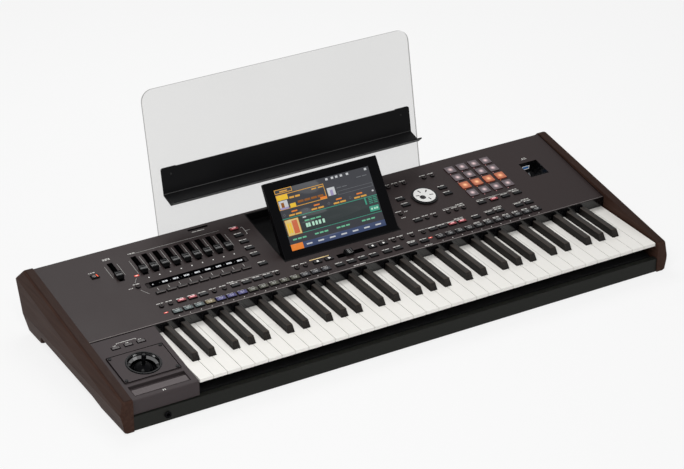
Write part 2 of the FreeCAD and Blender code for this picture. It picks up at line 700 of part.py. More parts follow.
def rear_place(x, up):
    """A frame on the rear panel's outer face: y points into the case and z up the panel."""
    angle = math.radians(REAR_ANGLE)
    foot = Vector(x, REAR_FOOT[0] + up * math.sin(angle), REAR_FOOT[1] + up * math.cos(angle))
    lean = Rotation(Vector(1, 0, 0), -REAR_ANGLE)
    return Placement(foot, lean * Rotation(Vector(0, 0, 1), 2 * QUARTER_TURN))


def rear_screw_xs():
    """Where screws hold the rear panel to the tray."""
    step = (RIGHT_X - LEFT_X) / REAR_SCREW_COUNT
    return [LEFT_X + step * (i + 1 / 2) for i in range(REAR_SCREW_COUNT)]


def rear_panel():
    """Rear panel leaning back, with a flange under the turned-down edge of the top panel."""
    lower = beside(PANEL_PROFILE, -PANEL_SHEET)
    (y_a, z_a), (y_b, z_b) = lower[2], lower[3]
    lean = REAR_LEAN / (CHAMFER_END[1] - TRAY_Z)
    slope = (y_b - y_a) / (z_b - z_a)
    corner_z = (y_a - REAR_FOOT[0] + lean * REAR_FOOT[1] - slope * z_a) / (lean - slope)
    corner = (REAR_FOOT[0] + lean * (corner_z - REAR_FOOT[1]), corner_z)
    flange_end = (corner[0] - REAR_FLANGE * math.cos(CHAMFER_ANGLE),
                  corner[1] + REAR_FLANGE * math.sin(CHAMFER_ANGLE))
    sheet = folded([REAR_FOOT, corner, flange_end], SHEET, CASE_X)
    cutters = []
    depth = (-OVERRUN, SHEET + OVERRUN)
    for radius, shares in ((JACK_NOSE_RADIUS, JACK_SHARES), (MIDI_RADIUS, MIDI_SHARES)):
        hole = barrel(radius + SEAT_GAP, depth)
        cutters += [at(hole, rear_place(share * KEY_SPAN, SOCKET_UP)) for share in shares]
    for share in REAR_USB_SHARES:
        hole = box(around(0, USB_WIDTH + 2 * SEAT_GAP), depth, around(0, USB_HEIGHT + 2 * SEAT_GAP))
        cutters.append(at(hole, rear_place(share * KEY_SPAN, SOCKET_UP)))
    hole = box(around(0, INLET_WIDTH + 2 * SEAT_GAP), depth, around(0, INLET_HEIGHT + 2 * SEAT_GAP))
    cutters.append(at(hole, rear_place(INLET_SHARE * KEY_SPAN, SOCKET_UP)))
    return sheet.cut(cutters + rear_screw_holes())


def rear_screw_holes():
    """Clearance holes through the rear panel and the tray's flange."""
    hole = barrel(SCREW_RADIUS + SCREW_GAP, (-OVERRUN, 2 * SHEET + OVERRUN))
    return [at(hole, rear_place(x, REAR_SCREW_UP)) for x in rear_screw_xs()]


def bottom_tray():
    """Folded tray: floor, flange behind the rear panel and side flanges against the cheeks."""
    angle = math.radians(REAR_ANGLE)
    inner = (REAR_FOOT[0] - SHEET / math.cos(angle), TRAY_Z)
    flange = (inner[0] + TRAY_FLANGE * math.sin(angle), inner[1] + TRAY_FLANGE * math.cos(angle))
    pieces = [folded([(RAIL_FRONT_Y + SHEET, TRAY_Z), inner, flange], SHEET, CASE_X)]
    side_y = (TRAY_SIDE_FRONT_Y, TRAY_SIDE_REAR_Y)
    side_z = (TRAY_Z, TRAY_Z + TRAY_FLANGE)
    pieces.append(box((LEFT_X, LEFT_X + SHEET), side_y, side_z))
    pieces.append(box((RIGHT_X - SHEET, RIGHT_X), side_y, side_z))
    return joined(pieces).cut(rear_screw_holes())


def front_rail():
    """Rail below the keys, with a top flange and the hole for the headphone socket."""
    top = -RAIL_TOP_DEPTH
    line = [(RAIL_FRONT_Y, TRAY_Z), (RAIL_FRONT_Y, top), (RAIL_FRONT_Y + RAIL_FLANGE, top)]
    hole = barrel(JACK_NOSE_RADIUS + SEAT_GAP, (-OVERRUN, SHEET + OVERRUN))
    return folded(line, -SHEET, CASE_X).cut(moved(hole, PHONES_X, RAIL_FRONT_Y, -PHONES_DEPTH))


def cheek(inner_x, outward):
    """End cheek: a side outline with a foot at each end, faceted on its outer face."""
    foot_z = CHEEK_GROUND_GAP - KEY_TOP_HEIGHT
    rear_foot_y = REAR_FOOT[0] + CHEEK_REACH
    front_top = (CHEEK_FRONT_Y, CHEEK_FRONT_TOP_RISE)
    rear_top = (PANEL_REAR[0] + CHEEK_PROUD / 2, PANEL_REAR[1] + CHEEK_PROUD)
    outline = [(CHEEK_FRONT_Y, foot_z),
               (CHEEK_FRONT_Y + FRONT_FOOT_LENGTH, foot_z),
               (CHEEK_FRONT_Y + FRONT_FOOT_LENGTH + ARCH_FRONT_RUN, foot_z + ARCH_FRONT_RISE),
               (rear_foot_y - REAR_FOOT_LENGTH - ARCH_REAR_RUN, foot_z + ARCH_REAR_RISE),
               (rear_foot_y - REAR_FOOT_LENGTH, foot_z),
               (rear_foot_y, foot_z),
               (CHAMFER_END[0] + CHEEK_REACH, CHAMFER_END[1] + CHEEK_PROUD / 2),
               rear_top,
               front_top]
    outer_x = inner_x + outward * CHEEK_THICKNESS
    x = (min(inner_x, outer_x), max(inner_x, outer_x))
    solid = prism(outline, x)
    for (corner_y, corner_z), radius in ((front_top, CHEEK_NOSE), (rear_top, CHEEK_REAR_ROUND)):
        corner = [edge for edge in solid.Edges
                  if all(math.hypot(v.Y - corner_y, v.Z - corner_z) < TOUCH for v in edge.Vertexes)]
        solid = solid.makeFillet(radius, corner)
    height = -CHEEK_RIDGE_DEPTH - foot_z
    hem_lean = CHEEK_FOOT_LEAN * (1 - CHEEK_HEM_RISE / height)
    crown = CHEEK_TOP_LEAN * (1 + OVERRUN / CHEEK_SHOULDER)
    shoulder = [(0, -CHEEK_SHOULDER), (OVERRUN, -CHEEK_SHOULDER), (OVERRUN, OVERRUN), (-crown, OVERRUN)]
    lower = [(0, height), (-CHEEK_FOOT_LEAN, 0), (OVERRUN, 0), (OVERRUN, height)]
    hem = [(-hem_lean, CHEEK_HEM_RISE), (-CHEEK_FOOT_LEAN - CHEEK_HEM_RUN, 0), (OVERRUN, 0),
           (OVERRUN, CHEEK_HEM_RISE)]
    rise = (rear_top[1] - front_top[1]) / (rear_top[0] - front_top[0])
    for facet, slope, z in ((shoulder, rise, front_top[1]), (lower, 0, foot_z), (hem, 0, foot_z)):
        start = Vector(outer_x, CHEEK_FRONT_Y - OVERRUN, z - slope * OVERRUN)
        length = CHAMFER_END[0] + CHEEK_REACH - start.y + OVERRUN
        corners = [start + Vector(outward * dx, 0, dz) for dx, dz in facet + facet[:1]]
        solid = solid.cut(Part.Face(Part.makePolygon(corners)).extrude(Vector(0, length, slope * length)))
    edges = [edge for edge in solid.Edges if on_top_outer_edge(edge, inner_x, outward, front_top, rear_top)]
    return solid.makeFillet(CHEEK_EDGE, edges)


def on_top_outer_edge(edge, inner_x, outward, front_top, rear_top):
    """Whether an edge runs along the cheek's sloping top, on its outer side."""
    middle = edge.valueAt((edge.FirstParameter + edge.LastParameter) / 2)
    share = (middle.y - front_top[0]) / (rear_top[0] - front_top[0])
    line_z = front_top[1] + share * (rear_top[1] - front_top[1])
    is_outer = (middle.x - inner_x) * outward > CHEEK_THICKNESS / 2
    return is_outer and abs(middle.z - line_z) < SEAT_GAP and edge.Length > PANEL_LENGTH


def rubber_feet():
    """Four round feet under the tray."""
    z = (-KEY_TOP_HEIGHT, TRAY_Z)
    xs = (LEFT_X + FOOT_INSET, RIGHT_X - FOOT_INSET)
    return group([post(FOOT_RADIUS, x, y, z) for x in xs for y in (FOOT_FRONT_Y, FOOT_REAR_Y)])


# Buttons and their holes

def style_places():
    """Front row of wide buttons, left and right of the middle."""
    shares = list(range(STYLE_LEFT_COUNT)) + [STYLE_RIGHT_SHARE + i for i in range(STYLE_RIGHT_COUNT)]
    return [(column(share), FRONT_ROW) for share in shares]


def function_places():
    """The other wide buttons."""
    places = [(column(share), FRONT_ROW) for share in CENTRE_SHARES]
    places += [(column(share), UPPER_ROW) for share in UPPER_SHARES]
    side_x = column(SIDE_COLUMN_SHARE)
    places += [(side_x, REAR_ROW - SIDE_COLUMN_PITCH * i) for i in range(SIDE_COLUMN_COUNT)]
    places += [(side_x, MIDDLE_ROW), (column(MIDDLE_FUNCTION_SHARE), MIDDLE_ROW)]
    for share in DIAL_BUTTON_SHARES:
        places += [(column(share), row) for row in around(DIAL_ROW, DIAL_BUTTON_PITCH)]
    pad_x = column(PAD_FIRST_SHARE)
    places += [(pad_x + PAD_PITCH * i, MIDDLE_ROW) for i in range(PADS_EACH_WAY)]
    return places


def round_places():
    """The round buttons."""
    rows = ((UPPER_ROUND_SHARES, UPPER_ROW), (MIDDLE_ROUND_SHARES, MIDDLE_ROW),
            (REAR_ROUND_SHARES, REAR_ROW), (MODE_ROUND_SHARES, MODE_ROW))
    return [(column(share), row) for shares, row in rows for share in shares]


def pad_places():
    """The square pads, four each way."""
    steps = [PAD_PITCH * i for i in range(PADS_EACH_WAY)]
    return [(column(PAD_FIRST_SHARE) + across, PAD_FIRST_ROW + up) for up in steps for across in steps]


def fader_button_places():
    """One slim button under each fader."""
    return [(x, MIDDLE_ROW) for x in FADER_XS]


def power_places():
    """The power button."""
    return [(column(POWER_SHARE), POWER_ROW)]


def block_button_places():
    """Three buttons behind the joystick, in the block's own frame."""
    return [(BLOCK_BUTTON_PITCH * i, BLOCK_BUTTON_UP) for i in (-1, 0, 1)]


def flange(sheet):
    """Heights of the flange that keeps a button under a sheet."""
    return (-sheet - SEAT_GAP - BUTTON_FLANGE_HEIGHT, -sheet - SEAT_GAP)


def wide_button(width, length, rise, sheet):
    """A bevelled button with a flange under the sheet."""
    cap = box(around(0, width), around(0, length), (-BUTTON_DEPTH, rise))
    cap = cap.makeChamfer(BUTTON_BEVEL, top_edges(cap))
    rim = 2 * BUTTON_FLANGE
    return joined([cap, box(around(0, width + rim), around(0, length + rim), flange(sheet))])


def pad_button():
    """A square pad with rounded corners and a flange under the panel."""
    cap = rounded(around(0, PAD_SIZE), around(0, PAD_SIZE), (-BUTTON_DEPTH, PAD_RISE), PAD_CORNER)
    side = PAD_SIZE + 2 * BUTTON_FLANGE
    return joined([cap, box(around(0, side), around(0, side), flange(PANEL_SHEET))])


def round_button():
    """A round button with a rounded top edge and a flange under the panel."""
    cap = post(ROUND_RADIUS, 0, 0, (-BUTTON_DEPTH, BUTTON_RISE))
    cap = cap.makeFillet(ROUND_EDGE, top_edges(cap))
    return joined([cap, post(ROUND_RADIUS + BUTTON_FLANGE, 0, 0, flange(PANEL_SHEET))])


def spread(shape, places, frame):
    """A shape repeated at places in a level frame, then put in that frame's place."""
    return [at(moved(shape, x, y, 0), frame) for x, y in places]


def buttons():
    """Every button group."""
    style = wide_button(STYLE_WIDTH, STYLE_LENGTH, BUTTON_RISE, PANEL_SHEET)
    function = wide_button(FUNCTION_WIDTH, FUNCTION_LENGTH, BUTTON_RISE, PANEL_SHEET)
    fader = wide_button(FADER_BUTTON_WIDTH, FADER_BUTTON_LENGTH, BUTTON_RISE, PANEL_SHEET)
    power = wide_button(POWER_WIDTH, POWER_LENGTH, BUTTON_RISE, PANEL_SHEET)
    block = wide_button(BLOCK_BUTTON_WIDTH, BLOCK_BUTTON_LENGTH, BLOCK_BUTTON_RISE, BLOCK_WALL)
    return {"style_buttons": group(spread(style, style_places(), PANEL)),
            "function_buttons": group(spread(function, function_places(), PANEL)),
            "fader_buttons": group(spread(fader, fader_button_places(), PANEL)),
            "round_buttons": group(spread(round_button(), round_places(), PANEL)),
            "pads": group(spread(pad_button(), pad_places(), PANEL)),
            "power_button": group(spread(power, power_places(), PANEL)),
            "joystick_buttons": group(spread(block, block_button_places(), BLOCK))}


def button_holes():
    """Holes for the panel's buttons, in the panel's frame."""
    depth = (-PANEL_SHEET - OVERRUN, OVERRUN)
    gap = 2 * SLIDE_GAP
    sizes = ((STYLE_WIDTH, STYLE_LENGTH, style_places()),
             (FUNCTION_WIDTH, FUNCTION_LENGTH, function_places()),
             (FADER_BUTTON_WIDTH, FADER_BUTTON_LENGTH, fader_button_places()),
             (PAD_SIZE, PAD_SIZE, pad_places()),
             (POWER_WIDTH, POWER_LENGTH, power_places()))
    holes = []
    for width, length, places in sizes:
        holes += [box(around(x, width + gap), around(y, length + gap), depth) for x, y in places]
    holes += [post(ROUND_RADIUS + SLIDE_GAP, x, y, depth) for x, y in round_places()]
    return holes


# Faders

def fader_places():
    """Each fader: its name, the middle of its slot, where its cap is left and the turn of its slot."""
    master_y = MASTER_MIDDLE_ROW
    places = [("master_fader_cap", (MASTER_X, master_y), (MASTER_X, master_y + MASTER_REST), 0)]
    y = FADER_MIDDLE_ROW
    for i, x in enumerate(FADER_XS):
        places.append(("assign_fader_cap_%d" % (i + 1), (x, y), (x, y + FADER_REST), 0))
    balance = ((BALANCE_X, UPPER_ROW), (BALANCE_X + BALANCE_REST, UPPER_ROW))
    places.append(("balance_fader_cap", *balance, -QUARTER_TURN))
    return places


def panel_spot(place, turn):
    """A frame at a place on the panel, turned about the panel's normal."""
    return PANEL * Placement(Vector(*place, 0), Rotation(Vector(0, 0, 1), turn))


def fader_cap():
    """A drafted cap with a finger dip, on a blade that reaches into the track."""
    half = CAP_LENGTH / 2
    top = CAP_LIFT + CAP_HEIGHT
    outline = [(-half, CAP_LIFT), (half, CAP_LIFT), (half - CAP_DRAFT, top), (-half + CAP_DRAFT, top)]
    cap = prism(outline, around(0, CAP_WIDTH))
    dip = rod(CAP_DIP_RADIUS, around(0, CAP_WIDTH + OVERRUN), 0, top + CAP_DIP_RADIUS - CAP_DIP)
    stem = box(around(0, STEM_WIDTH), around(0, STEM_LENGTH), (-STEM_DEPTH, CAP_LIFT))
    return joined([cap.cut(dip), stem])


def fader_track():
    """A slide track under the panel with a groove for the cap's blade."""
    z = (-PANEL_SHEET - TRACK_HEIGHT, -PANEL_SHEET)
    body = box(around(0, TRACK_WIDTH), around(0, SLOT_LENGTH + 2 * TRACK_WALL), z)
    groove = box(around(0, GROOVE_WIDTH), around(0, SLOT_LENGTH), (-PANEL_SHEET - GROOVE_DEPTH, OVERRUN))
    return body.cut(groove)


def faders():
    """Fader caps, one node each, and the tracks as one group."""
    cap = fader_cap()
    track = fader_track()
    nodes = {}
    tracks = []
    for name, middle, rest, turn in fader_places():
        nodes[name] = at(cap, panel_spot(rest, turn))
        tracks.append(at(track, panel_spot(middle, turn)))
    nodes["fader_tracks"] = group(tracks)
    return nodes


def fader_slots():
    """Slots in the panel, in the world."""
    slot = box(around(0, SLOT_WIDTH), around(0, SLOT_LENGTH), (-PANEL_SHEET - OVERRUN, OVERRUN))
    return [at(slot, panel_spot(place[1], place[-1])) for place in fader_places()]


# Panel, lamps and display strip

def lamp_places():
    """Small lamps on the panel."""
    places = [(x, FADER_LAMP_ROW) for x in FADER_XS]
    places += [(column(MODE_LAMP_SHARE), MODE_LAMP_ROW)]
    places += [(column(share), STYLE_LAMP_ROW) for share in STYLE_LAMP_SHARES]
    return places


def indicator_leds():
    """Lamps set in the panel."""
    return group(spread(post(LAMP_RADIUS, 0, 0, (-PANEL_SHEET, LAMP_RISE)), lamp_places(), PANEL))


def strip_plate(gap, z):
    """The fader display's outline, in the panel's frame."""
    x = around((FADER_XS[0] + FADER_XS[-1]) / 2, STRIP_LENGTH + 2 * gap)
    return rounded(x, around(STRIP_ROW, STRIP_WIDTH + 2 * gap), z, STRIP_CORNER + gap)


def fader_display():
    """Glass strip that names the faders."""
    return at(strip_plate(0, (-PANEL_SHEET, -STRIP_SINK)), PANEL)


def dial_place():
    """The dial's middle on the panel."""
    return (column(DIAL_SHARE), DIAL_ROW)


def data_dial():
    """Dial with a skirt, a raised top with a finger dimple, and its shaft."""
    skirt = post(DIAL_RADIUS, 0, 0, (DIAL_LIFT, DIAL_LIFT + DIAL_SKIRT_HEIGHT))
    top = post(DIAL_TOP_RADIUS, 0, 0, (DIAL_LIFT, DIAL_LIFT + DIAL_HEIGHT))
    shaft = post(DIAL_SHAFT_RADIUS, 0, 0, (-DIAL_SHAFT_DEPTH, DIAL_LIFT))
    ball_radius = (DIMPLE_RADIUS ** 2 + DIMPLE_DEPTH ** 2) / (2 * DIMPLE_DEPTH)
    ball_z = DIAL_LIFT + DIAL_HEIGHT + ball_radius - DIMPLE_DEPTH
    dimple = Part.makeSphere(ball_radius, Vector(DIMPLE_OFFSET, 0, ball_z))
    return at(joined([skirt, top, shaft]).cut(dimple), panel_spot(dial_place(), DIMPLE_TURN))


def pocket_walls():
    """The pocket's outside under the panel, in the panel's frame."""
    front = POCKET_FRONT - POCKET_WALL
    rear = POCKET_FRONT + POCKET_LENGTH + POCKET_WALL
    top = -PANEL_SHEET / 2
    outline = [(front, top), (rear, top), (rear, -POCKET_DEPTH - POCKET_WALL),
               (front, -PANEL_SHEET - POCKET_WALL)]
    return prism(outline, around(POCKET_X, POCKET_WIDTH + 2 * POCKET_WALL))


def pocket_room():
    """The pocket's inside: a floor that slopes down from the front edge to the rear wall."""
    rear = POCKET_FRONT + POCKET_LENGTH
    outline = [(POCKET_FRONT, 0), (POCKET_FRONT, OVERRUN), (rear, OVERRUN), (rear, -POCKET_DEPTH)]
    return prism(outline, around(POCKET_X, POCKET_WIDTH))


def well_opening(gap):
    """Ends of the display well along x and up the panel."""
    front = DISPLAY_AXIS_ROW - DISPLAY_KNUCKLE - WELL_GAP
    x = around(DISPLAY_X, DISPLAY_WIDTH + 2 * WELL_GAP + 2 * gap)
    return x, (front - gap, WELL_REAR_ROW + gap)


def board_bosses():
    """Bosses under the panel that carry the right-hand board."""
    z = (-PANEL_SHEET - TRACK_HEIGHT, -PANEL_SHEET / 2)
    rows = ((FRONT_ROW + UPPER_ROW) / 2, PANEL_BOARD_FRONT + PANEL_BOARD_LENGTH - BOARD_MARGIN / 2)
    left, right = right_board_x()
    xs = (left + BOARD_MARGIN / 2, right - BOARD_MARGIN / 2)
    return [post(BOSS_RADIUS, x, y, z) for x in xs for y in rows]


def top_panel():
    """Top panel: fascia, sloping panel and turned-down rear edge, with every opening in it."""
    sheet = folded(PANEL_PROFILE, -PANEL_SHEET, CASE_X)
    fold = [edge for edge in sheet.Edges
            if all(math.hypot(v.Y - PANEL_FRONT_Y, v.Z - PANEL_FRONT_Z) < TOUCH for v in edge.Vertexes)]
    sheet = sheet.makeFillet(PANEL_EDGE, fold)
    pocket = at(pocket_walls(), PANEL)
    bosses = [at(boss, PANEL) for boss in board_bosses()]
    depth = (-PANEL_SHEET - OVERRUN, OVERRUN)
    cutters = button_holes()
    cutters += [post(LAMP_RADIUS + SEAT_GAP, x, y, depth) for x, y in lamp_places()]
    cutters.append(strip_plate(SEAT_GAP, depth))
    cutters.append(post(DIAL_SHAFT_RADIUS + SLIDE_GAP, *dial_place(), depth))
    cutters.append(box(*well_opening(WELL_WALL + SEAT_GAP), depth))
    cutters.append(pocket_room())
    cutters.append(usb_hole())
    world = [at(cutter, PANEL) for cutter in cutters] + fader_slots() + stand_slots()
    return joined([sheet, pocket] + bosses).cut(world)


def left_board_x():
    """Ends of the left panel board."""
    return (LEFT_X + BOARD_MARGIN, well_opening(WELL_WALL + WELL_FLANGE)[0][0] - BOARD_MARGIN)


def right_board_x():
    """Ends of the right panel board."""
    return (well_opening(WELL_WALL + WELL_FLANGE)[0][1] + BOARD_MARGIN, column(BOARD_END_SHARE))


def panel_board():
    """Boards that carry the controls' switches: left, middle and right."""
    z = (-PANEL_SHEET - TRACK_HEIGHT - BOARD_THICKNESS, -PANEL_SHEET - TRACK_HEIGHT)
    full = (PANEL_BOARD_FRONT, PANEL_BOARD_FRONT + PANEL_BOARD_LENGTH)
    well_front = well_opening(WELL_WALL)[1][0]
    short = (PANEL_BOARD_FRONT, well_front - CENTRE_BOARD_GAP)
    left, right = left_board_x(), right_board_x()
    middle = (left[1] + SLIDE_GAP, right[0] - SLIDE_GAP)
    boards = [box(left, full, z), box(middle, short, z), box(right, full, z)]
    return group([at(board, PANEL) for board in boards])


# Joystick block

def block_top(y):
    """Height of the block's sloping top at a depth."""
    return -BLOCK_FRONT_TOP_DEPTH + y * math.tan(math.radians(BLOCK_SLOPE))


def joystick_housing():
    """Hollow block with a sloping top, standing on the tray on its two side walls."""
    rear = PANEL_FRONT_Y - BLOCK_REAR_GAP
    foot = BLOCK_FOOT_GAP - RAIL_TOP_DEPTH
    x = (LEFT_X, LEFT_X + BLOCK_WIDTH)
    shell = prism([(0, foot), (rear, foot), (rear, block_top(rear)), (0, block_top(0))], x)
    nose = [edge for edge in shell.Edges
            if all(abs(v.Y) < TOUCH and abs(v.Z - block_top(0)) < TOUCH for v in edge.Vertexes)]
    shell = shell.makeFillet(BLOCK_NOSE, nose)
    wall = BLOCK_WALL
    room_top = beside([(0, block_top(0)), (rear, block_top(rear))], -wall)
    slope = (room_top[1][1] - room_top[0][1]) / (room_top[1][0] - room_top[0][0])
    front_z = room_top[0][1] + slope * (BLOCK_NOSE - room_top[0][0])
    rear_z = room_top[0][1] + slope * (rear - wall - room_top[0][0])
    room = prism([(BLOCK_NOSE, foot - OVERRUN), (rear - wall, foot - OVERRUN), (rear - wall, rear_z),
                  (BLOCK_NOSE, front_z)], (x[0] + wall, x[1] - wall))
    legs = [box(side, (BLOCK_LEG_FRONT_Y, BLOCK_LEG_REAR_Y), (TRAY_TOP_Z, foot + wall))
            for side in ((x[0], x[0] + wall), (x[1] - wall, x[1]))]
    depth = (-wall - OVERRUN, OVERRUN)
    gap = 2 * SLIDE_GAP
    cutters = [box(around(u, BLOCK_BUTTON_WIDTH + gap), around(v, BLOCK_BUTTON_LENGTH + gap), depth)
               for u, v in block_button_places()]
    cutters.append(post(STICK_COLLAR_RADIUS, 0, STICK_UP, depth))
    width, front, trench = ribbon_recess()
    cutters.append(box(width, (front, trench[0]), (-RIBBON_SHEET - RIBBON_SINK, OVERRUN)))
    cutters.append(box(width, trench, (-TRENCH_DEPTH, OVERRUN)))
    cutters += plate_screw_holes()
    trough_x = (width[0] - TRENCH_WALL, width[1] + TRENCH_WALL)
    trough_y = (trench[0] - TRENCH_WALL, trench[1] + TRENCH_WALL)
    trough = box(trough_x, trough_y, (-TRENCH_DEPTH - TRENCH_WALL, -wall / 2))
    body = joined([shell.cut(room), at(trough, BLOCK)] + legs)
    return body.cut([at(cutter, BLOCK) for cutter in cutters])


def ribbon_recess():
    """The ribbon's recess in the block's frame: its width, its front, and the ends of the groove behind."""
    strip = around(RIBBON_UP, RIBBON_LENGTH)
    groove = strip[1] + SEAT_GAP
    width = around(0, RIBBON_WIDTH + 2 * RIBBON_END_MARGIN)
    return width, strip[0] - RIBBON_MARGIN, (groove, groove + TRENCH_LENGTH)


def plate_screw_places():
    """The plate's four corner screws, in the block's frame."""
    xs = around(0, STICK_PLATE_WIDTH - 2 * PLATE_SCREW_INSET)
    ys = around(STICK_UP, STICK_PLATE_LENGTH - 2 * PLATE_SCREW_INSET)
    return [(x, y) for x in xs for y in ys]


def plate_screw_holes():
    """Clearance holes for the plate's screws, in the block's frame."""
    depth = (-BLOCK_WALL - OVERRUN, STICK_PLATE_SHEET + OVERRUN)
    return [post(SCREW_RADIUS + SCREW_GAP, x, y, depth) for x, y in plate_screw_places()]


def joystick_plate():
    """Plate on the block with a bowl-shaped collar and the lugs that carry the gimbal."""
    width, length = around(0, STICK_PLATE_WIDTH), around(STICK_UP, STICK_PLATE_LENGTH)
    plate = rounded(width, length, (0, STICK_PLATE_SHEET), STICK_PLATE_CORNER)
    rim_top = STICK_PLATE_SHEET + STICK_COLLAR_RISE
    rim = (STICK_COLLAR_RADIUS - STICK_COLLAR_RISE, rim_top)
    lip = (rim[0] - STICK_RIM, rim_top)
    mouth = (STICK_MOUTH_RADIUS, rim_top - STICK_BOWL_DEPTH)
    belly = ((lip[0] + mouth[0]) / 2 + STICK_BOWL_SAG / 2, (lip[1] + mouth[1]) / 2 - STICK_BOWL_SAG / 2)
    outside = [rim, (STICK_COLLAR_RADIUS, 0), (mouth[0] + 2 * STICK_BOWL_WALL, mouth[1]), (0, mouth[1]),
               (0, rim_top)]
    under, over = mouth[1] - OVERRUN, rim_top + OVERRUN
    inside = [lip, belly, mouth, (mouth[0], under), (0, under), (0, over), (lip[0], over)]
    collar = moved(turned(outside), 0, STICK_UP, 0)
    bowl = moved(turned(inside), 0, STICK_UP, 0)
    pivot_z = STICK_PLATE_SHEET - STICK_PIVOT_DEPTH
    lug_start = gimbal_outer_radius() + SLIDE_GAP
    lug_end = math.sqrt(STICK_COLLAR_RADIUS ** 2 - (GIMBAL_LUG / 2) ** 2) - SEAT_GAP
    lugs = []
    for side in (-1, 1):
        ends = sorted((side * lug_start, side * lug_end))
        z = (pivot_z - GIMBAL_LUG / 2, STICK_PLATE_SHEET / 2)
        lugs.append(box(ends, around(STICK_UP, GIMBAL_LUG), z))
    reach = around(0, 2 * STICK_COLLAR_RADIUS + OVERRUN)
    bearing = rod(GIMBAL_PIN_RADIUS + RUNNING_GAP, reach, STICK_UP, pivot_z)
    solid = joined([plate, collar] + lugs).cut([bowl, bearing] + plate_screw_holes())
    return at(solid, BLOCK)


def gimbal_outer_radius():
    """Outer radius of the gimbal ring."""
    return STICK_DOME_RADIUS + GIMBAL_GAP + GIMBAL_THICKNESS


def stick_pivot():
    """The joystick's pivot, in the block's frame."""
    return Placement(Vector(0, STICK_UP, STICK_PLATE_SHEET - STICK_PIVOT_DEPTH), Rotation())


def joystick_gimbal():
    """Ring that tilts about x on two pins and carries the stick's cross pins."""
    z = around(0, GIMBAL_HEIGHT)
    inner = STICK_DOME_RADIUS + GIMBAL_GAP
    outer = gimbal_outer_radius()
    ring = post(outer, 0, 0, z).cut(post(inner, 0, 0, (z[0] - OVERRUN, z[1] + OVERRUN)))
    pins = []
    for side in (-1, 1):
        start = side * (outer - GIMBAL_THICKNESS / 2)
        end = side * (outer + SLIDE_GAP + GIMBAL_PIN_LENGTH - GIMBAL_THICKNESS / 2)
        pins.append(rod(GIMBAL_PIN_RADIUS, sorted((start, end)), 0, 0))
    cross = barrel(GIMBAL_PIN_RADIUS + RUNNING_GAP, around(0, 2 * (outer + OVERRUN)))
    return at(joined([ring] + pins).cut(cross), BLOCK * stick_pivot())


def joystick_stick():
    """Domed stick with a knob, on cross pins that turn in the gimbal."""
    dome = Part.makeSphere(STICK_DOME_RADIUS)
    knob_z = STICK_LENGTH - STICK_KNOB_HEIGHT
    shaft = post(STICK_SHAFT_RADIUS, 0, 0, (0, STICK_LENGTH - STICK_KNOB_EDGE))
    knob = post(STICK_KNOB_RADIUS, 0, 0, (knob_z, STICK_LENGTH))
    knob = knob.makeFillet(STICK_KNOB_EDGE, top_edges(knob))
    pins = barrel(GIMBAL_PIN_RADIUS, around(0, 2 * gimbal_outer_radius()))
    return at(joined([dome, shaft, knob, pins]), BLOCK * stick_pivot())


def ribbon_strip():
    """Touch strip in the block's front recess."""
    z = (-RIBBON_SHEET - RIBBON_SINK, -RIBBON_SINK)
    return at(box(around(0, RIBBON_WIDTH), around(RIBBON_UP, RIBBON_LENGTH), z), BLOCK)


# Display

def display_well():
    """Tray under the panel that the display folds into, with a flange against the panel's underside."""
    floor_z = -DISPLAY_THICKNESS - WELL_FLOOR_GAP
    x, y = well_opening(0)
    outer_x, outer_y = well_opening(WELL_WALL)
    shell = box(outer_x, outer_y, (floor_z - WELL_WALL, 0))
    rim_x = (outer_x[0] - WELL_FLANGE, outer_x[1] + WELL_FLANGE)
    rim = box(rim_x, (outer_y[0] - WELL_FLANGE, outer_y[1]), (-PANEL_SHEET - WELL_WALL, -PANEL_SHEET))
    room = box(x, y, (floor_z, OVERRUN))
    bearing = rod(PIN_RADIUS + RUNNING_GAP, (outer_x[0] - OVERRUN, outer_x[1] + OVERRUN), DISPLAY_AXIS_ROW,
                  -DISPLAY_KNUCKLE)
    return at(joined([shell, rim]).cut([room, bearing]), PANEL)


def display_ends():
    """Ends of the display's face along its height, from the hinge axis."""
    return (-DISPLAY_KNUCKLE, DISPLAY_TOP)


def display_pin_holes():
    """Holes for the hinge pins in the display's sides."""
    half = DISPLAY_WIDTH / 2
    inner = half + PIN_REACH - PIN_LENGTH
    return [rod(PIN_RADIUS, sorted((side * inner, side * (half + OVERRUN))), 0, 0) for side in (-1, 1)]


def screen_ends(gap):
    """Ends of the glass along x and up the display."""
    low, high = display_ends()
    rim = SCREEN_RIM - gap
    return around(0, DISPLAY_WIDTH - 2 * rim), (low + DISPLAY_KNUCKLE + rim, high - rim)


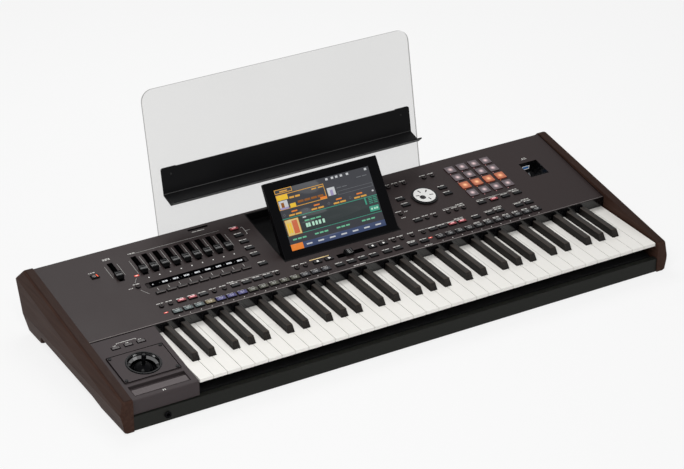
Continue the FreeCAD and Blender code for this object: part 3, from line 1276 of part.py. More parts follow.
def display_housing():
    """Display housing with a round lower front edge about its hinge, and a recess for the glass."""
    low, high = display_ends()
    z = (DISPLAY_KNUCKLE - DISPLAY_THICKNESS, DISPLAY_KNUCKLE)
    x = around(0, DISPLAY_WIDTH)
    body = box(x, (low, high), z)
    top_corners = [edge for edge in body.Edges if all(abs(v.Y - high) < TOUCH for v in edge.Vertexes)
                   and abs(edge.Vertexes[0].X - edge.Vertexes[1].X) < TOUCH]
    body = body.makeFillet(DISPLAY_CORNER, top_corners)
    knuckle = [edge for edge in body.Edges if all(abs(v.Y - low) < TOUCH and abs(v.Z - z[1]) < TOUCH
                                                  for v in edge.Vertexes)]
    body = body.makeFillet(DISPLAY_KNUCKLE - SEAT_GAP, knuckle)
    recess = box(*screen_ends(SEAT_GAP), (z[1] - SCREEN_SHEET, z[1] + OVERRUN))
    rim = z[1] - DISPLAY_RIM
    above = high + OVERRUN
    bevels = [prism([(high, rim), (above, rim), (above, z[0]), (high - DISPLAY_TAPER, z[0])], x)]
    for side, inward in zip(x, (1, -1)):
        bevels.append(pyramid([Vector(side, low, z[0]), Vector(side, high, rim), Vector(side, high, z[0]),
                               Vector(side + inward * DISPLAY_TAPER, high, z[0])]))
    return at(body.cut([recess] + bevels + display_pin_holes()), DISPLAY)


def display_screen():
    """Glass in the display's face."""
    return at(box(*screen_ends(0), (DISPLAY_KNUCKLE - SCREEN_SHEET, DISPLAY_KNUCKLE)), DISPLAY)


def display_hinge_pins():
    """Two pins that run in the sides of the well."""
    half = DISPLAY_WIDTH / 2
    ends = (half + PIN_REACH - PIN_LENGTH, half + PIN_REACH)
    pins = [rod(PIN_RADIUS, sorted((side * ends[0], side * ends[1])), 0, 0) for side in (-1, 1)]
    return group([at(pin, DISPLAY) for pin in pins])


# Sockets

def usb_port():
    """Socket with an open mouth towards -y and a tongue inside."""
    body = box(around(0, USB_WIDTH), (0, USB_LENGTH), around(0, USB_HEIGHT))
    mouth_width = USB_WIDTH - 2 * USB_WALL
    cavity = box(around(0, mouth_width), (-OVERRUN, USB_CAVITY), around(0, USB_HEIGHT - 2 * USB_WALL))
    tongue_width = mouth_width - 2 * USB_TONGUE_GAP
    tongue = box(around(0, tongue_width), (USB_WALL, USB_CAVITY + USB_WALL), around(0, USB_TONGUE))
    return joined([body.cut(cavity), tongue])


def usb_place():
    """The pocket port's place, in the panel's frame."""
    x = POCKET_X + POCKET_WIDTH * (USB_IN_POCKET_SHARE - 1 / 2)
    return Placement(Vector(x, POCKET_FRONT + POCKET_LENGTH, -POCKET_DEPTH * USB_DEPTH_SHARE), Rotation())


def usb_hole():
    """Hole for the port in the pocket's rear wall, in the panel's frame."""
    gap = 2 * SEAT_GAP
    hole = box(around(0, USB_WIDTH + gap), (-SEAT_GAP, POCKET_WALL + OVERRUN), around(0, USB_HEIGHT + gap))
    return at(hole, usb_place())


def usb_sockets():
    """The port in the panel's pocket and two on the rear panel."""
    port = usb_port()
    rear = [at(port, rear_place(share * KEY_SPAN, SOCKET_UP)) for share in REAR_USB_SHARES]
    return group([at(port, PANEL * usb_place())] + rear)


def jack_sockets():
    """Six jack sockets on the rear panel and one on the front rail."""
    nose = barrel(JACK_NOSE_RADIUS, (-JACK_NOSE, SHEET))
    body = box(around(0, JACK_BODY), (SHEET, SHEET + JACK_BODY_LENGTH), around(0, JACK_BODY))
    bore = barrel(JACK_BORE_RADIUS, (-JACK_NOSE - OVERRUN, JACK_BORE_DEPTH - JACK_NOSE))
    jack = joined([nose, body]).cut(bore)
    places = [rear_place(share * KEY_SPAN, SOCKET_UP) for share in JACK_SHARES]
    places.append(Placement(Vector(PHONES_X, RAIL_FRONT_Y, -PHONES_DEPTH), Rotation()))
    return group([at(jack, place) for place in places])


def midi_sockets():
    """Round sockets on the rear panel."""
    nose = barrel(MIDI_RADIUS, (0, SHEET))
    body = box(around(0, MIDI_BODY), (SHEET, SHEET + MIDI_BODY_LENGTH), around(0, MIDI_BODY))
    bore = barrel(MIDI_BORE_RADIUS, (-OVERRUN, MIDI_BORE_DEPTH))
    socket = joined([nose, body]).cut(bore)
    return group([at(socket, rear_place(share * KEY_SPAN, SOCKET_UP)) for share in MIDI_SHARES])


def mains_inlet():
    """Three-blade mains inlet with a flange outside the rear panel."""
    body = box(around(0, INLET_WIDTH), (-SHEET, INLET_LENGTH), around(0, INLET_HEIGHT))
    rim = box(around(0, INLET_WIDTH + 2 * INLET_FLANGE), (-SHEET, 0),
              around(0, INLET_HEIGHT + INLET_FLANGE / 2))
    cavity = box(around(0, INLET_CAVITY_WIDTH), (-SHEET - OVERRUN, INLET_CAVITY_DEPTH),
                 around(0, INLET_CAVITY_HEIGHT))
    corners = [edge for edge in cavity.Edges if edge.Vertexes[0].Z > 0 and edge.Vertexes[1].Z > 0
               and abs(edge.Vertexes[0].X - edge.Vertexes[1].X) < TOUCH]
    cavity = cavity.makeChamfer(INLET_CORNER, corners)
    blade_y = (INLET_CAVITY_DEPTH - BLADE_LENGTH, INLET_CAVITY_DEPTH + SHEET)
    blades = []
    for x, z in ((-BLADE_PITCH, -BLADE_LIFT), (0, BLADE_LIFT), (BLADE_PITCH, -BLADE_LIFT)):
        blades.append(box(around(x, BLADE_WIDTH), blade_y, around(z, BLADE_HEIGHT)))
    inlet = joined([joined([body, rim]).cut(cavity)] + blades)
    return at(inlet, rear_place(INLET_SHARE * KEY_SPAN, SOCKET_UP))


def main_board():
    """Main board on posts behind the keys, with a heat sink and chips."""
    x = around(MAIN_BOARD_SHARE * KEY_SPAN, MAIN_BOARD_WIDTH)
    y = (INNER_REAR_Y - MAIN_BOARD_LENGTH, INNER_REAR_Y)
    z = TRAY_TOP_Z + MAIN_BOARD_LIFT
    pieces = [box(x, y, (z, z + BOARD_THICKNESS))]
    for post_x in (x[0] + BOARD_MARGIN, sum(x) / 2, x[1] - BOARD_MARGIN):
        for post_y in (y[0] + BOARD_MARGIN, y[1] - BOARD_MARGIN):
            pieces.append(post(BOSS_RADIUS, post_x, post_y, (TRAY_TOP_Z, z)))
    top = z + BOARD_THICKNESS
    middle_y = sum(y) / 2
    for i in (-1, 0, 1):
        chip_x = sum(x) / 2 + i * CHIP_PITCH
        pieces.append(box(around(chip_x, CHIP_SIZE), around(middle_y, CHIP_SIZE), (top, top + CHIP_HEIGHT)))
    pieces.append(box(around(sum(x) / 2, CHIP_SIZE), around(middle_y, CHIP_SIZE), (top, top + SINK_HEIGHT)))
    return joined(pieces)


def power_supply():
    """Closed power supply on the tray near the mains inlet."""
    x = around(SUPPLY_SHARE * KEY_SPAN, SUPPLY_WIDTH)
    return box(x, (INNER_REAR_Y - SUPPLY_LENGTH, INNER_REAR_Y), (TRAY_TOP_Z, TRAY_TOP_Z + SUPPLY_HEIGHT))


def case_screws():
    """Screws of the joystick plate and of the rear panel."""
    head = post(SCREW_HEAD_RADIUS, 0, 0, (0, SCREW_HEAD_HEIGHT))
    shank = post(SCREW_RADIUS, 0, 0, (-SCREW_LENGTH, 0))
    screw = joined([head, shank])
    plate = [at(moved(screw, x, y, STICK_PLATE_SHEET), BLOCK) for x, y in plate_screw_places()]
    outward = Placement(Vector(0, 0, 0), Rotation(Vector(1, 0, 0), QUARTER_TURN))
    rear = [at(screw, rear_place(x, REAR_SCREW_UP) * outward) for x in rear_screw_xs()]
    return group(plate + rear)


# Music stand

def tongue_middles():
    """The stand's two tongues along x, from its middle."""
    return around(0, TONGUE_SPREAD)


def stand_panel():
    """Clear panel with two rounded top corners and two tongues below."""
    x = around(0, STAND_WIDTH)
    plate = box(x, (0, STAND_SHEET), (STAND_LIFT, STAND_HEIGHT))
    corners = [edge for edge in plate.Edges if all(abs(v.Z - STAND_HEIGHT) < TOUCH for v in edge.Vertexes)
               and abs(edge.Vertexes[0].X - edge.Vertexes[1].X) < TOUCH]
    plate = plate.makeFillet(STAND_CORNER, corners)
    tongues = [box(around(middle, TONGUE_WIDTH), (0, STAND_SHEET), (-TONGUE_LENGTH, STAND_LIFT))
               for middle in tongue_middles()]
    return at(joined([plate] + tongues), STAND)


def stand_slots():
    """Slots for the tongues in the panel's turned-down rear edge."""
    y = (-SLIDE_GAP, STAND_SHEET + SLIDE_GAP)
    reach = TONGUE_LENGTH
    return [at(box(around(middle, TONGUE_WIDTH + 2 * SLIDE_GAP), y, (-reach, reach)), STAND)
            for middle in tongue_middles()]


def stand_brackets():
    """Sockets under the turned-down edge that the tongues stand in."""
    wall = SOCKET_WALL
    lower = beside(PANEL_PROFILE, -PANEL_SHEET)
    inside = prism([lower[1], lower[2], lower[3], (lower[3][0], TRAY_Z), (lower[1][0], TRAY_Z)], CASE_X)
    brackets = []
    for middle in tongue_middles():
        x = around(middle, TONGUE_WIDTH + 2 * SLIDE_GAP)
        y = (-SLIDE_GAP, STAND_SHEET + SLIDE_GAP)
        body = box((x[0] - wall, x[1] + wall), (y[0] - wall, y[1] + wall),
                   (-TONGUE_LENGTH - wall, TONGUE_LENGTH))
        room = box(x, y, (-TONGUE_LENGTH, 2 * TONGUE_LENGTH))
        brackets.append(at(body.cut(room), STAND).common(inside))
    return group(brackets)


def stand_ledge():
    """Folded ledge on the stand's face: a web with raised ends, a falling shelf and a flared lip."""
    drop = math.radians(LEDGE_DROP)
    flare = math.radians(LEDGE_FLARE)
    fold = (0, LEDGE_FOLD)
    edge = (-LEDGE_DEPTH * math.cos(drop), LEDGE_FOLD - LEDGE_DEPTH * math.sin(drop))
    lip = (edge[0] - LEDGE_LIP * math.cos(flare), edge[1] + LEDGE_LIP * math.sin(flare))
    x = around(LEDGE_X - STAND_X, LEDGE_LENGTH)
    web_top = LEDGE_FOLD + LEDGE_WEB
    tab_top = web_top + LEDGE_TAB_RISE
    sheet = folded([(0, tab_top), fold, edge, lip], -SHEET, x)
    corners = [edge for edge in sheet.Edges if all(abs(v.Z - tab_top) < TOUCH for v in edge.Vertexes)
               and abs(edge.Vertexes[0].X - edge.Vertexes[1].X) < TOUCH]
    sheet = sheet.makeFillet(LEDGE_CORNER, corners)
    between = (x[0] + LEDGE_TAB, x[1] - LEDGE_TAB)
    middle = box(between, (-SHEET - OVERRUN, OVERRUN), (web_top, tab_top + OVERRUN))
    return at(sheet.cut(middle), STAND)


def pieces():
    """Every node of the keyboard by name."""
    nodes = {"bottom_tray": bottom_tray(),
             "rear_panel": rear_panel(),
             "top_panel": top_panel(),
             "left_cheek": cheek(LEFT_X, -1),
             "right_cheek": cheek(RIGHT_X, 1),
             "front_rail": front_rail(),
             "rubber_feet": rubber_feet(),
             "case_screws": case_screws(),
             "key_frame": key_frame(),
             "key_pivot_rod": rod(ROD_RADIUS, (-ROD_OVERHANG, RIGHT_X - SEAT_GAP), PIVOT_Y, -PIVOT_DEPTH),
             "key_contact_board": key_contact_board(),
             "main_board": main_board(),
             "panel_board": panel_board(),
             "power_supply": power_supply(),
             "jack_sockets": jack_sockets(),
             "midi_sockets": midi_sockets(),
             "usb_sockets": usb_sockets(),
             "mains_inlet": mains_inlet(),
             "joystick_housing": joystick_housing(),
             "joystick_plate": joystick_plate(),
             "joystick_gimbal": joystick_gimbal(),
             "joystick_stick": joystick_stick(),
             "ribbon_strip": ribbon_strip(),
             "display_well": display_well(),
             "display_housing": display_housing(),
             "display_screen": display_screen(),
             "display_hinge_pins": display_hinge_pins(),
             "fader_display": fader_display(),
             "indicator_leds": indicator_leds(),
             "data_dial": data_dial(),
             "stand_panel": stand_panel(),
             "stand_ledge": stand_ledge(),
             "stand_brackets": stand_brackets()}
    nodes.update(keys())
    nodes.update(buttons())
    nodes.update(faders())
    return nodes


def frame_shift():
    """The move that puts the origin on the floor under the middle of the whole."""
    tilt = math.radians(STAND_TILT)
    rear = STAND_FOOT[0] + STAND_HEIGHT * math.sin(tilt) + STAND_SHEET * math.cos(tilt)
    return Vector(-(LEFT_X + RIGHT_X) / 2, -(CHEEK_FRONT_Y + rear) / 2, KEY_TOP_HEIGHT)


def main():
    """Write one file for each node."""
    os.makedirs("parts", exist_ok=True)
    shift = frame_shift()
    for name, shape in pieces().items():
        moved(shape, shift.x, shift.y, shift.z).exportStep("parts/%s.step" % name)


main()
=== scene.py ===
"""Finish of an arranger keyboard: materials, printing, lamps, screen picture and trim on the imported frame."""

import json
import math

import bpy
import numpy as np
from mathutils import Matrix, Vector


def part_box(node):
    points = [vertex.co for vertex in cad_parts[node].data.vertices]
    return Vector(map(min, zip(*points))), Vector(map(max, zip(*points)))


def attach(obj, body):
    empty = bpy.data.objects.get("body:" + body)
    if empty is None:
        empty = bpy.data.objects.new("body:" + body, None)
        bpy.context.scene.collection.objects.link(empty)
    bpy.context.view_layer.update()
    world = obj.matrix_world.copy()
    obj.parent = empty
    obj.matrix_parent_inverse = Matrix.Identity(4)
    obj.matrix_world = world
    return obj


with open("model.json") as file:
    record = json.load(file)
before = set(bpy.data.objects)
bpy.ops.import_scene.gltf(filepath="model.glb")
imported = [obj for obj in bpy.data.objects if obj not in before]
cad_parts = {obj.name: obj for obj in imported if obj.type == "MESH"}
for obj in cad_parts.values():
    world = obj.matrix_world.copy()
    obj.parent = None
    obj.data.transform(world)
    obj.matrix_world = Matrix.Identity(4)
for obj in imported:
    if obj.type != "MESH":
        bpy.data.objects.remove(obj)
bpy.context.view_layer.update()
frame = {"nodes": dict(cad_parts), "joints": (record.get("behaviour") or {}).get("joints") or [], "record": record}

bl_info = {
    "name": "Arranger Keyboard Finish",
    "version": (1, 0, 0),
    "blender": (4, 5, 0),
    "location": "View3D > Sidebar > Keyboard",
    "description": "Materials, printing, lamps and trim of an arranger keyboard",
    "category": "Object",
}

MM = 0.001
JOINTS = {joint["name"]: joint for joint in frame["joints"]}
MOUNTS = {mount["name"]: mount for mount in frame["record"]["mounts"]}
WHITE_KEYS = ("c_keys", "d_keys", "e_keys", "f_keys", "g_keys", "a_keys", "b_keys")
FADER_CAPS = [name for name in frame["nodes"] if "fader_cap" in name]
KEY_GAP = 1.0 * MM
RIGHT = np.array((1.0, 0.0, 0.0))
DARK = (0.0, 0.0, 0.0, 1.0)


def srgb(red, green, blue):
    """A colour as it looks on a screen, 0 to 255, as linear light with full alpha."""
    share = np.array((red, green, blue)) / 255
    linear = np.where(share <= 0.04045, share / 12.92, ((share + 0.055) / 1.055) ** 2.4)
    return (*linear.tolist(), 1.0)


def colour_property(name, description, colour):
    """A colour that a user can change."""
    return bpy.props.FloatVectorProperty(name=name, description=description, subtype="COLOR", size=4,
                                         min=0.0, max=1.0, default=srgb(*colour))


def number_property(name, description, default, **kind):
    """A number that a user can change."""
    return bpy.props.FloatProperty(name=name, description=description, default=default, **kind)


def length_property(name, description, default):
    """A length in metres that a user can change."""
    return number_property(name, description, default, unit="LENGTH", subtype="DISTANCE", precision=5)


class KeyboardColours(bpy.types.PropertyGroup):
    """Colours of the keyboard's finishes."""

    panel: colour_property("Panel", "Moulded top panel", (44, 36, 36))
    block: colour_property("Block", "Joystick block and its plate", (64, 58, 59))
    rail: colour_property("Rail", "Painted rail under the keys", (28, 29, 26))
    cheek: colour_property("Cheek", "Dark stained end cheeks", (69, 50, 42))
    cheek_grain: colour_property("Cheek grain", "Darker streaks of the cheeks", (54, 37, 31))
    white_key: colour_property("White key", "Ivory plastic", (236, 234, 229))
    black_key: colour_property("Black key", "Grained black plastic", (36, 32, 29))
    black: colour_property("Black", "Black plastic trim", (17, 17, 18))
    gloss: colour_property("Gloss black", "Polished black trim", (8, 8, 10))
    steel: colour_property("Steel", "Bare steel", (176, 176, 174))
    sheet: colour_property("Sheet", "Black painted sheet", (34, 34, 35))
    rubber: colour_property("Rubber", "Feet", (22, 22, 22))
    circuit: colour_property("Board", "Circuit boards", (30, 84, 54))
    port: colour_property("Port", "Tongue of the fast ports", (52, 112, 178))
    acrylic: colour_property("Acrylic", "Clear music stand", (126, 124, 116))
    ink: colour_property("Ink", "Printed lines and labels", (228, 226, 222))
    amber: colour_property("Amber", "Amber marks and lit pads", (255, 210, 156))
    red: colour_property("Red", "Red lamps", (255, 92, 60))
    rose: colour_property("Rose", "Lit button lenses", (186, 78, 86))
    pad: colour_property("Pad", "Translucent pads", (106, 97, 101))
    pad_heart: colour_property("Pad heart", "Light in the middle of a pad", (255, 222, 222))
    pad_orange: colour_property("Lit pad", "Pads of the lit row", (180, 108, 82))
    disc: colour_property("Dial disc", "White top of the dial", (226, 226, 224))


class KeyboardSizes(bpy.types.PropertyGroup):
    """Sizes of the printing and the trim."""

    lift: length_property("Print lift", "Printing above its surface", 0.03 * MM)
    weight: length_property("Line weight", "Width of a printed line", 0.45 * MM)
    label: length_property("Label height", "Height of a printed label", 1.6 * MM)
    lens: length_property("Lens rise", "Lens above a button's top", 0.25 * MM)


class StudioSettings(bpy.types.PropertyGroup):
    """Camera and light."""

    place: bpy.props.FloatVectorProperty(name="Camera place", description="Where the camera stands",
                                         subtype="XYZ", unit="LENGTH", default=(-1.74799, -2.97061, 1.97038))
    azimuth: number_property("Azimuth", "Camera's way round from the front", math.radians(-30.4248),
                             unit="ROTATION")
    elevation: number_property("Elevation", "Camera's look down", math.radians(28.381), unit="ROTATION")
    roll: number_property("Roll", "Camera's turn about its line of sight", math.radians(0.0704),
                          unit="ROTATION")
    lens: number_property("Lens", "Focal length in millimetres", 127.71)
    sensor: number_property("Sensor", "Sensor width in millimetres", 36.0)
    floor: colour_property("Floor", "Pale floor and background", (249, 249, 249))
    key_power: number_property("Key light", "Power of the key light", 17.0)
    fill_power: number_property("Fill light", "Power of the front light", 9.0)
    back_power: number_property("Back light", "Power of the light above the rear", 12.0)
    ambient: number_property("Ambient", "Light from all around", 0.35)


def colours():
    """The scene's colours."""
    return bpy.context.scene.keyboard_colours


def sizes():
    """The scene's sizes."""
    return bpy.context.scene.keyboard_sizes


class Plane:
    """A flat face of the keyboard, with an origin, a way right, a way up and a way out of the face."""

    def __init__(self, origin, up):
        self.origin = np.array(origin, float)
        self.up = np.array(up, float)
        self.out = np.cross(RIGHT, self.up)
        self.axes = np.stack((RIGHT, self.up, self.out))

    def at(self, x, y, h=0.0):
        """Points on the face: origin + x right + y up + h out, for arrays that broadcast together."""
        local = np.stack(np.broadcast_arrays(*(np.asarray(value, float) for value in (x, y, h))), axis=-1)
        return self.origin + local @ self.axes

    def local(self, points):
        """Points of the part as distances right, up and out from the origin."""
        return (points - self.origin) @ self.axes.T

    def corners(self, node):
        """A node's corners as distances right, up and out from the origin."""
        return self.local(triangles(node)).reshape(-1, 3)

    def height(self, node):
        """How far a node reaches out of the face."""
        return self.corners(node)[:, 2].max()


def panel_plane():
    """The sloping panel, from its front edge over the first key's left side."""
    up = np.array(JOINTS["assign_fader_1_slide"]["axis"])
    dial = np.array(JOINTS["dial_turn"]["pos_m"])
    front_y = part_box("top_panel")[0].y
    origin = dial - up * (dial[1] - front_y) / up[1]
    origin[0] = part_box("c_keys")[0].x - KEY_GAP / 2
    return Plane(origin, up)


def block_plane():
    """The joystick plate's level, from the joystick's pivot."""
    return Plane(JOINTS["stick_fore_aft"]["pos_m"], JOINTS["stick_sideways"]["axis"])


def display_plane():
    """The display's glass, from the middle of its hinge line."""
    slope = math.atan2(PANEL.up[2], PANEL.up[1])
    rise = slope - math.radians(JOINTS["display_tilt"]["range_deg"][0])
    hinge = np.array(JOINTS["display_tilt"]["pos_m"])
    plane = Plane(hinge, (0.0, math.cos(rise), math.sin(rise)))
    plane.origin = hinge + plane.out * plane.height("display_screen")
    return plane


def stand_plane():
    """The music stand's front face, from the middle of its foot."""
    up = np.array(JOINTS["stand_lift"]["axis"])
    plane = Plane((0.0, 0.0, 0.0), up)
    corners = plane.corners("stand_panel")
    low = corners.min(0)
    high = corners.max(0)
    plane.origin = plane.at((low[0] + high[0]) / 2, low[1], high[2])
    return plane


def rear_plane():
    """The rear panel's face, from a jack's mouth, looking out of the back."""
    mount = MOUNTS["rear_jack_1"]
    way = mount["axis"]
    return Plane(mount["pos_m"], (0.0, way[2], -way[1]))


def triangles(node):
    """A node's triangles as an array of corners."""
    mesh = frame["nodes"][node].data
    points = np.empty(len(mesh.vertices) * 3, np.float32)
    mesh.vertices.foreach_get("co", points)
    corners = np.empty(len(mesh.loops), np.int32)
    mesh.loops.foreach_get("vertex_index", corners)
    return points.reshape(-1, 3)[corners].reshape(-1, 3, 3).astype(float)


def runs(low, high):
    """A label for each interval, equal where intervals overlap: sorted by start, a run ends at a gap."""
    order = np.argsort(low)
    reach = np.maximum.accumulate(high[order])
    starts = np.concatenate(((False,), low[order][1:] > reach[:-1]))
    labels = np.empty(len(low), int)
    labels[order] = np.cumsum(starts)
    return labels


def islands(node, plane):
    """Middle right and up, and width and height, of a node's separate solids on a face, row by row."""
    flat = plane.local(triangles(node))
    low = flat.min(1)
    high = flat.max(1)
    rows = runs(low[:, 1], high[:, 1])
    found = []
    for row in range(rows.max() + 1):
        inside = np.flatnonzero(rows == row)
        columns = runs(low[inside, 0], high[inside, 0])
        for column in range(columns.max() + 1):
            members = inside[columns == column]
            first = low[members].min(0)
            last = high[members].max(0)
            found.append((*(first + last)[:2] / 2, *(last - first)[:2]))
    return np.array(found)


PANEL = panel_plane()
BLOCK = block_plane()
DISPLAY = display_plane()
STAND = stand_plane()
REAR = rear_plane()


class Value:
    """A number in a shader: arithmetic on it adds Math nodes."""

    def __init__(self, finish, socket):
        self.finish = finish
        self.socket = socket

    def math(self, operation, *values):
        """A Math node on some values."""
        return self.finish.node("Math", {"operation": operation}, *values)

    def __add__(self, other):
        return self.math("ADD", self, other)

    __radd__ = __add__

    def __sub__(self, other):
        return self.math("SUBTRACT", self, other)

    def __rsub__(self, other):
        return self.math("SUBTRACT", other, self)

    def __mul__(self, other):
        return self.math("MULTIPLY", self, other)

    __rmul__ = __mul__

    def __truediv__(self, other):
        return self.math("DIVIDE", self, other)

    def __mod__(self, other):
        return self.math("FLOORED_MODULO", self, other)

    def __pow__(self, other):
        return self.math("POWER", self, other)

    def __lt__(self, other):
        return self.math("LESS_THAN", self, other)

    def __gt__(self, other):
        return self.math("GREATER_THAN", self, other)

    def __abs__(self):
        return self.math("ABSOLUTE", self)


MIX_INPUTS = (0, 6, 7)
MIX_OUTPUT = 2


class Finish:
    """One material: nodes are added by type, and sockets of its surface are set or linked by name."""

    def __init__(self, name, **surface):
        self.material = bpy.data.materials.new(name)
        self.material.use_nodes = True
        self.tree = self.material.node_tree
        self.shader = self.tree.nodes["Principled BSDF"]
        self.point = self.node("TexCoord", {}, output="Object")
        self.surface(**surface)

    def fill(self, socket, value):
        """Link a value to a socket, or set the socket to a number, vector or colour."""
        if isinstance(value, Value):
            self.tree.links.new(value.socket, socket)
        else:
            socket.default_value = value

    def surface(self, **sockets):
        """Fill sockets of the surface: base_color fills Base Color."""
        for name, value in sockets.items():
            self.fill(self.shader.inputs[name.replace("_", " ").title().replace("Ior", "IOR")], value)
        return self

    def node(self, kind, settings, *values, output=0, **named):
        """A node of a type: its settings first, then its sockets in order or by name."""
        made = self.tree.nodes.new("ShaderNode" + kind)
        for name, setting in settings.items():
            setattr(made, name, setting)
        for socket, value in zip(made.inputs, values):
            self.fill(socket, value)
        for name, value in named.items():
            self.fill(made.inputs[name], value)
        return Value(self, made.outputs[output])

    def mix(self, share, first, second):
        """A colour between two colours."""
        made = self.node("Mix", {"data_type": "RGBA"}, output=MIX_OUTPUT)
        for index, value in zip(MIX_INPUTS, (share, first, second)):
            self.fill(made.socket.node.inputs[index], value)
        return made

    def clamp(self, value):
        """A value held between 0 and 1."""
        return self.node("Clamp", {}, value)

    def dot(self, vector, direction):
        """How far a vector of the shader goes along a fixed direction."""
        return self.node("VectorMath", {"operation": "DOT_PRODUCT"}, vector, tuple(direction), output=1)

    def along(self, direction, origin):
        """How far the shaded point lies from an origin along a direction."""
        return self.dot(self.point, direction) - float(np.dot(direction, origin))

    def facing(self, direction):
        """How squarely the face looks along a direction, from -1 to 1."""
        return self.dot(self.node("NewGeometry", {}, output="True Normal"), direction)

    def stretched(self, scale):
        """The shaded point with each axis scaled."""
        return self.node("VectorMath", {"operation": "MULTIPLY"}, self.point, scale)

    def noise(self, scale, detail=2.0, vector=None):
        """Soft noise from 0 to 1."""
        return self.node("TexNoise", {}, Vector=vector or self.point, Scale=scale, Detail=detail)

    def attribute(self, name):
        """A colour stored on the mesh."""
        return self.node("Attribute", {"attribute_name": name})

    def bump(self, height, distance):
        """Bend the surface's normal by a height that is distance deep."""
        self.surface(normal=self.node("Bump", {}, Distance=distance, Height=height))

    def cover(self, share, colour, roughness):
        """Lay another colour and roughness over a share of the surface."""
        inputs = self.shader.inputs
        colour_below = Value(self, inputs["Base Color"].links[0].from_socket)
        roughness_below = Value(self, inputs["Roughness"].links[0].from_socket)
        return self.surface(base_color=self.mix(share, colour_below, colour),
                            roughness=roughness_below + share * (roughness - roughness_below))

    def radius(self, plane, x, y):
        """How far the shaded point lies from a point of a face, across that face."""
        centre = plane.at(x, y)
        right = self.along(RIGHT, centre)
        up = self.along(plane.up, centre)
        return (right * right + up * up) ** 0.5


# Among these marks, the bright ring on round buttons, the fader buttons' front edges, the ledge's fold and the
# panel's front edge are painted highlights; the cheek joints and the block's groove are painted shade.
SHADES = {"pad_side": (58, 30, 30), "lit_pad_side": (128, 34, 24), "power_ring": (210, 196, 190),
          "power_bar": (236, 92, 58), "block_button": (74, 69, 69), "fader_button": (34, 32, 32),
          "fader_button_highlight": (118, 104, 100), "round_rim_highlight": (92, 80, 78), "dark_lens": (26, 26, 28),
          "lit_core": (246, 176, 180), "sign": (250, 248, 244), "lit_pad_lamp": (226, 132, 84),
          "pad_lamp": (206, 146, 150), "bar_lamp": (214, 66, 52), "bar_core": (255, 214, 200),
          "strip_light": (226, 228, 232), "strip_end": (48, 44, 44), "dial_ray": (26, 26, 28),
          "ledge_fold_highlight": (84, 84, 84), "screw": (62, 62, 62), "screw_socket": (8, 8, 8),
          "port_rim": (206, 210, 214), "amber_line": (255, 226, 164), "front_edge_highlight": (146, 140, 138),
          "cheek_joint_shade": (16, 14, 14), "block_groove_shade": (10, 9, 9)}


def shade(name):
    """The colour of a small mark by its name."""
    return np.array(srgb(*SHADES[name]))


def darker(colour, share):
    """A colour dimmed to a share of its light."""
    return (*(value * share for value in colour[:3]), 1.0)


def moulded(name, colour, roughness, grain, depth, mottle=0.12, shine=0.06):
    """Moulded plastic or paint: a slow mottle in colour and gloss, and a fine grain that is depth deep."""
    finish = Finish(name, specular_ior_level=shine)
    cloud = finish.noise(9.0, 3.0)
    speck = finish.noise(1.0 / grain, 2.0)
    tone = finish.clamp(cloud * 0.6 + speck * 0.4)
    finish.surface(base_color=finish.mix(tone, darker(colour, 1.0 - mottle), darker(colour, 1.0 + mottle)),
                   roughness=roughness - 0.06 + cloud * 0.12)
    finish.bump(speck, depth)
    return finish


def polished(name, colour, roughness=0.12, shine=0.04):
    """Polished plastic with faint hairlines in its gloss."""
    finish = Finish(name, base_color=colour, specular_ior_level=shine)
    hairs = finish.noise(60.0, 4.0, finish.stretched((1.0, 7.0, 3.0)))
    finish.surface(roughness=roughness + hairs * 0.12)
    return finish


def metal(name, colour, roughness=0.3):
    """Bare metal brushed along its length."""
    finish = Finish(name, metallic=1.0)
    brushing = finish.noise(240.0, 3.0, finish.stretched((0.06, 1.0, 1.0)))
    finish.surface(base_color=finish.mix(brushing, darker(colour, 0.8), colour),
                   roughness=roughness + brushing * 0.2)
    finish.bump(brushing, 0.01 * MM)
    return finish


CHEEK_TOP_FACING = 0.85
CHEEK_TOP_SHADE = 0.55


def stained_cheek():
    """Dark stained wood: streaks along the cheek's length, waved by a slow noise, under a satin coat; faces that
    look upward are darkened as painted shade.
    """
    finish = Finish("cheek_stain", specular_ior_level=0.04)
    wave = finish.noise(5.0, 2.0)
    streaks = finish.noise(26.0, 5.0, finish.stretched((9.0, 0.5, 9.0)))
    pores = finish.noise(260.0, 2.0, finish.stretched((1.0, 0.07, 1.0)))
    share = finish.clamp((streaks - 0.3) * 1.7 + (wave - 0.5) * 0.5)
    wood = finish.mix(share, colours().cheek_grain, colours().cheek)
    # Faces that look upward get a share of a dark stain colour: painted shade.
    top = finish.facing((0.0, 0.0, 1.0)) > CHEEK_TOP_FACING
    top_shade = darker(colours().cheek_grain, 0.3)
    finish.surface(base_color=finish.mix(top * CHEEK_TOP_SHADE, wood, top_shade),
                   roughness=0.38 + pores * 0.16)
    finish.bump(pores * 0.6 + streaks * 0.4, 0.05 * MM)
    return finish


def ivory():
    """White key plastic: a faint cloud in colour and gloss, and a very fine grain."""
    finish = Finish("key_ivory", specular_ior_level=0.35)
    cloud = finish.noise(14.0, 3.0)
    white = colours().white_key
    finish.surface(base_color=finish.mix(cloud, darker(white, 0.95), white), roughness=0.22 + cloud * 0.16)
    finish.bump(finish.noise(900.0, 1.0), 0.008 * MM)
    return finish


EBONY_SHADED_SIDE = 0.6
EBONY_FLAT = 0.12 * MM
EBONY_BEVEL = 1.2 * MM
EBONY_SHADE_FALL = 12.0 * MM


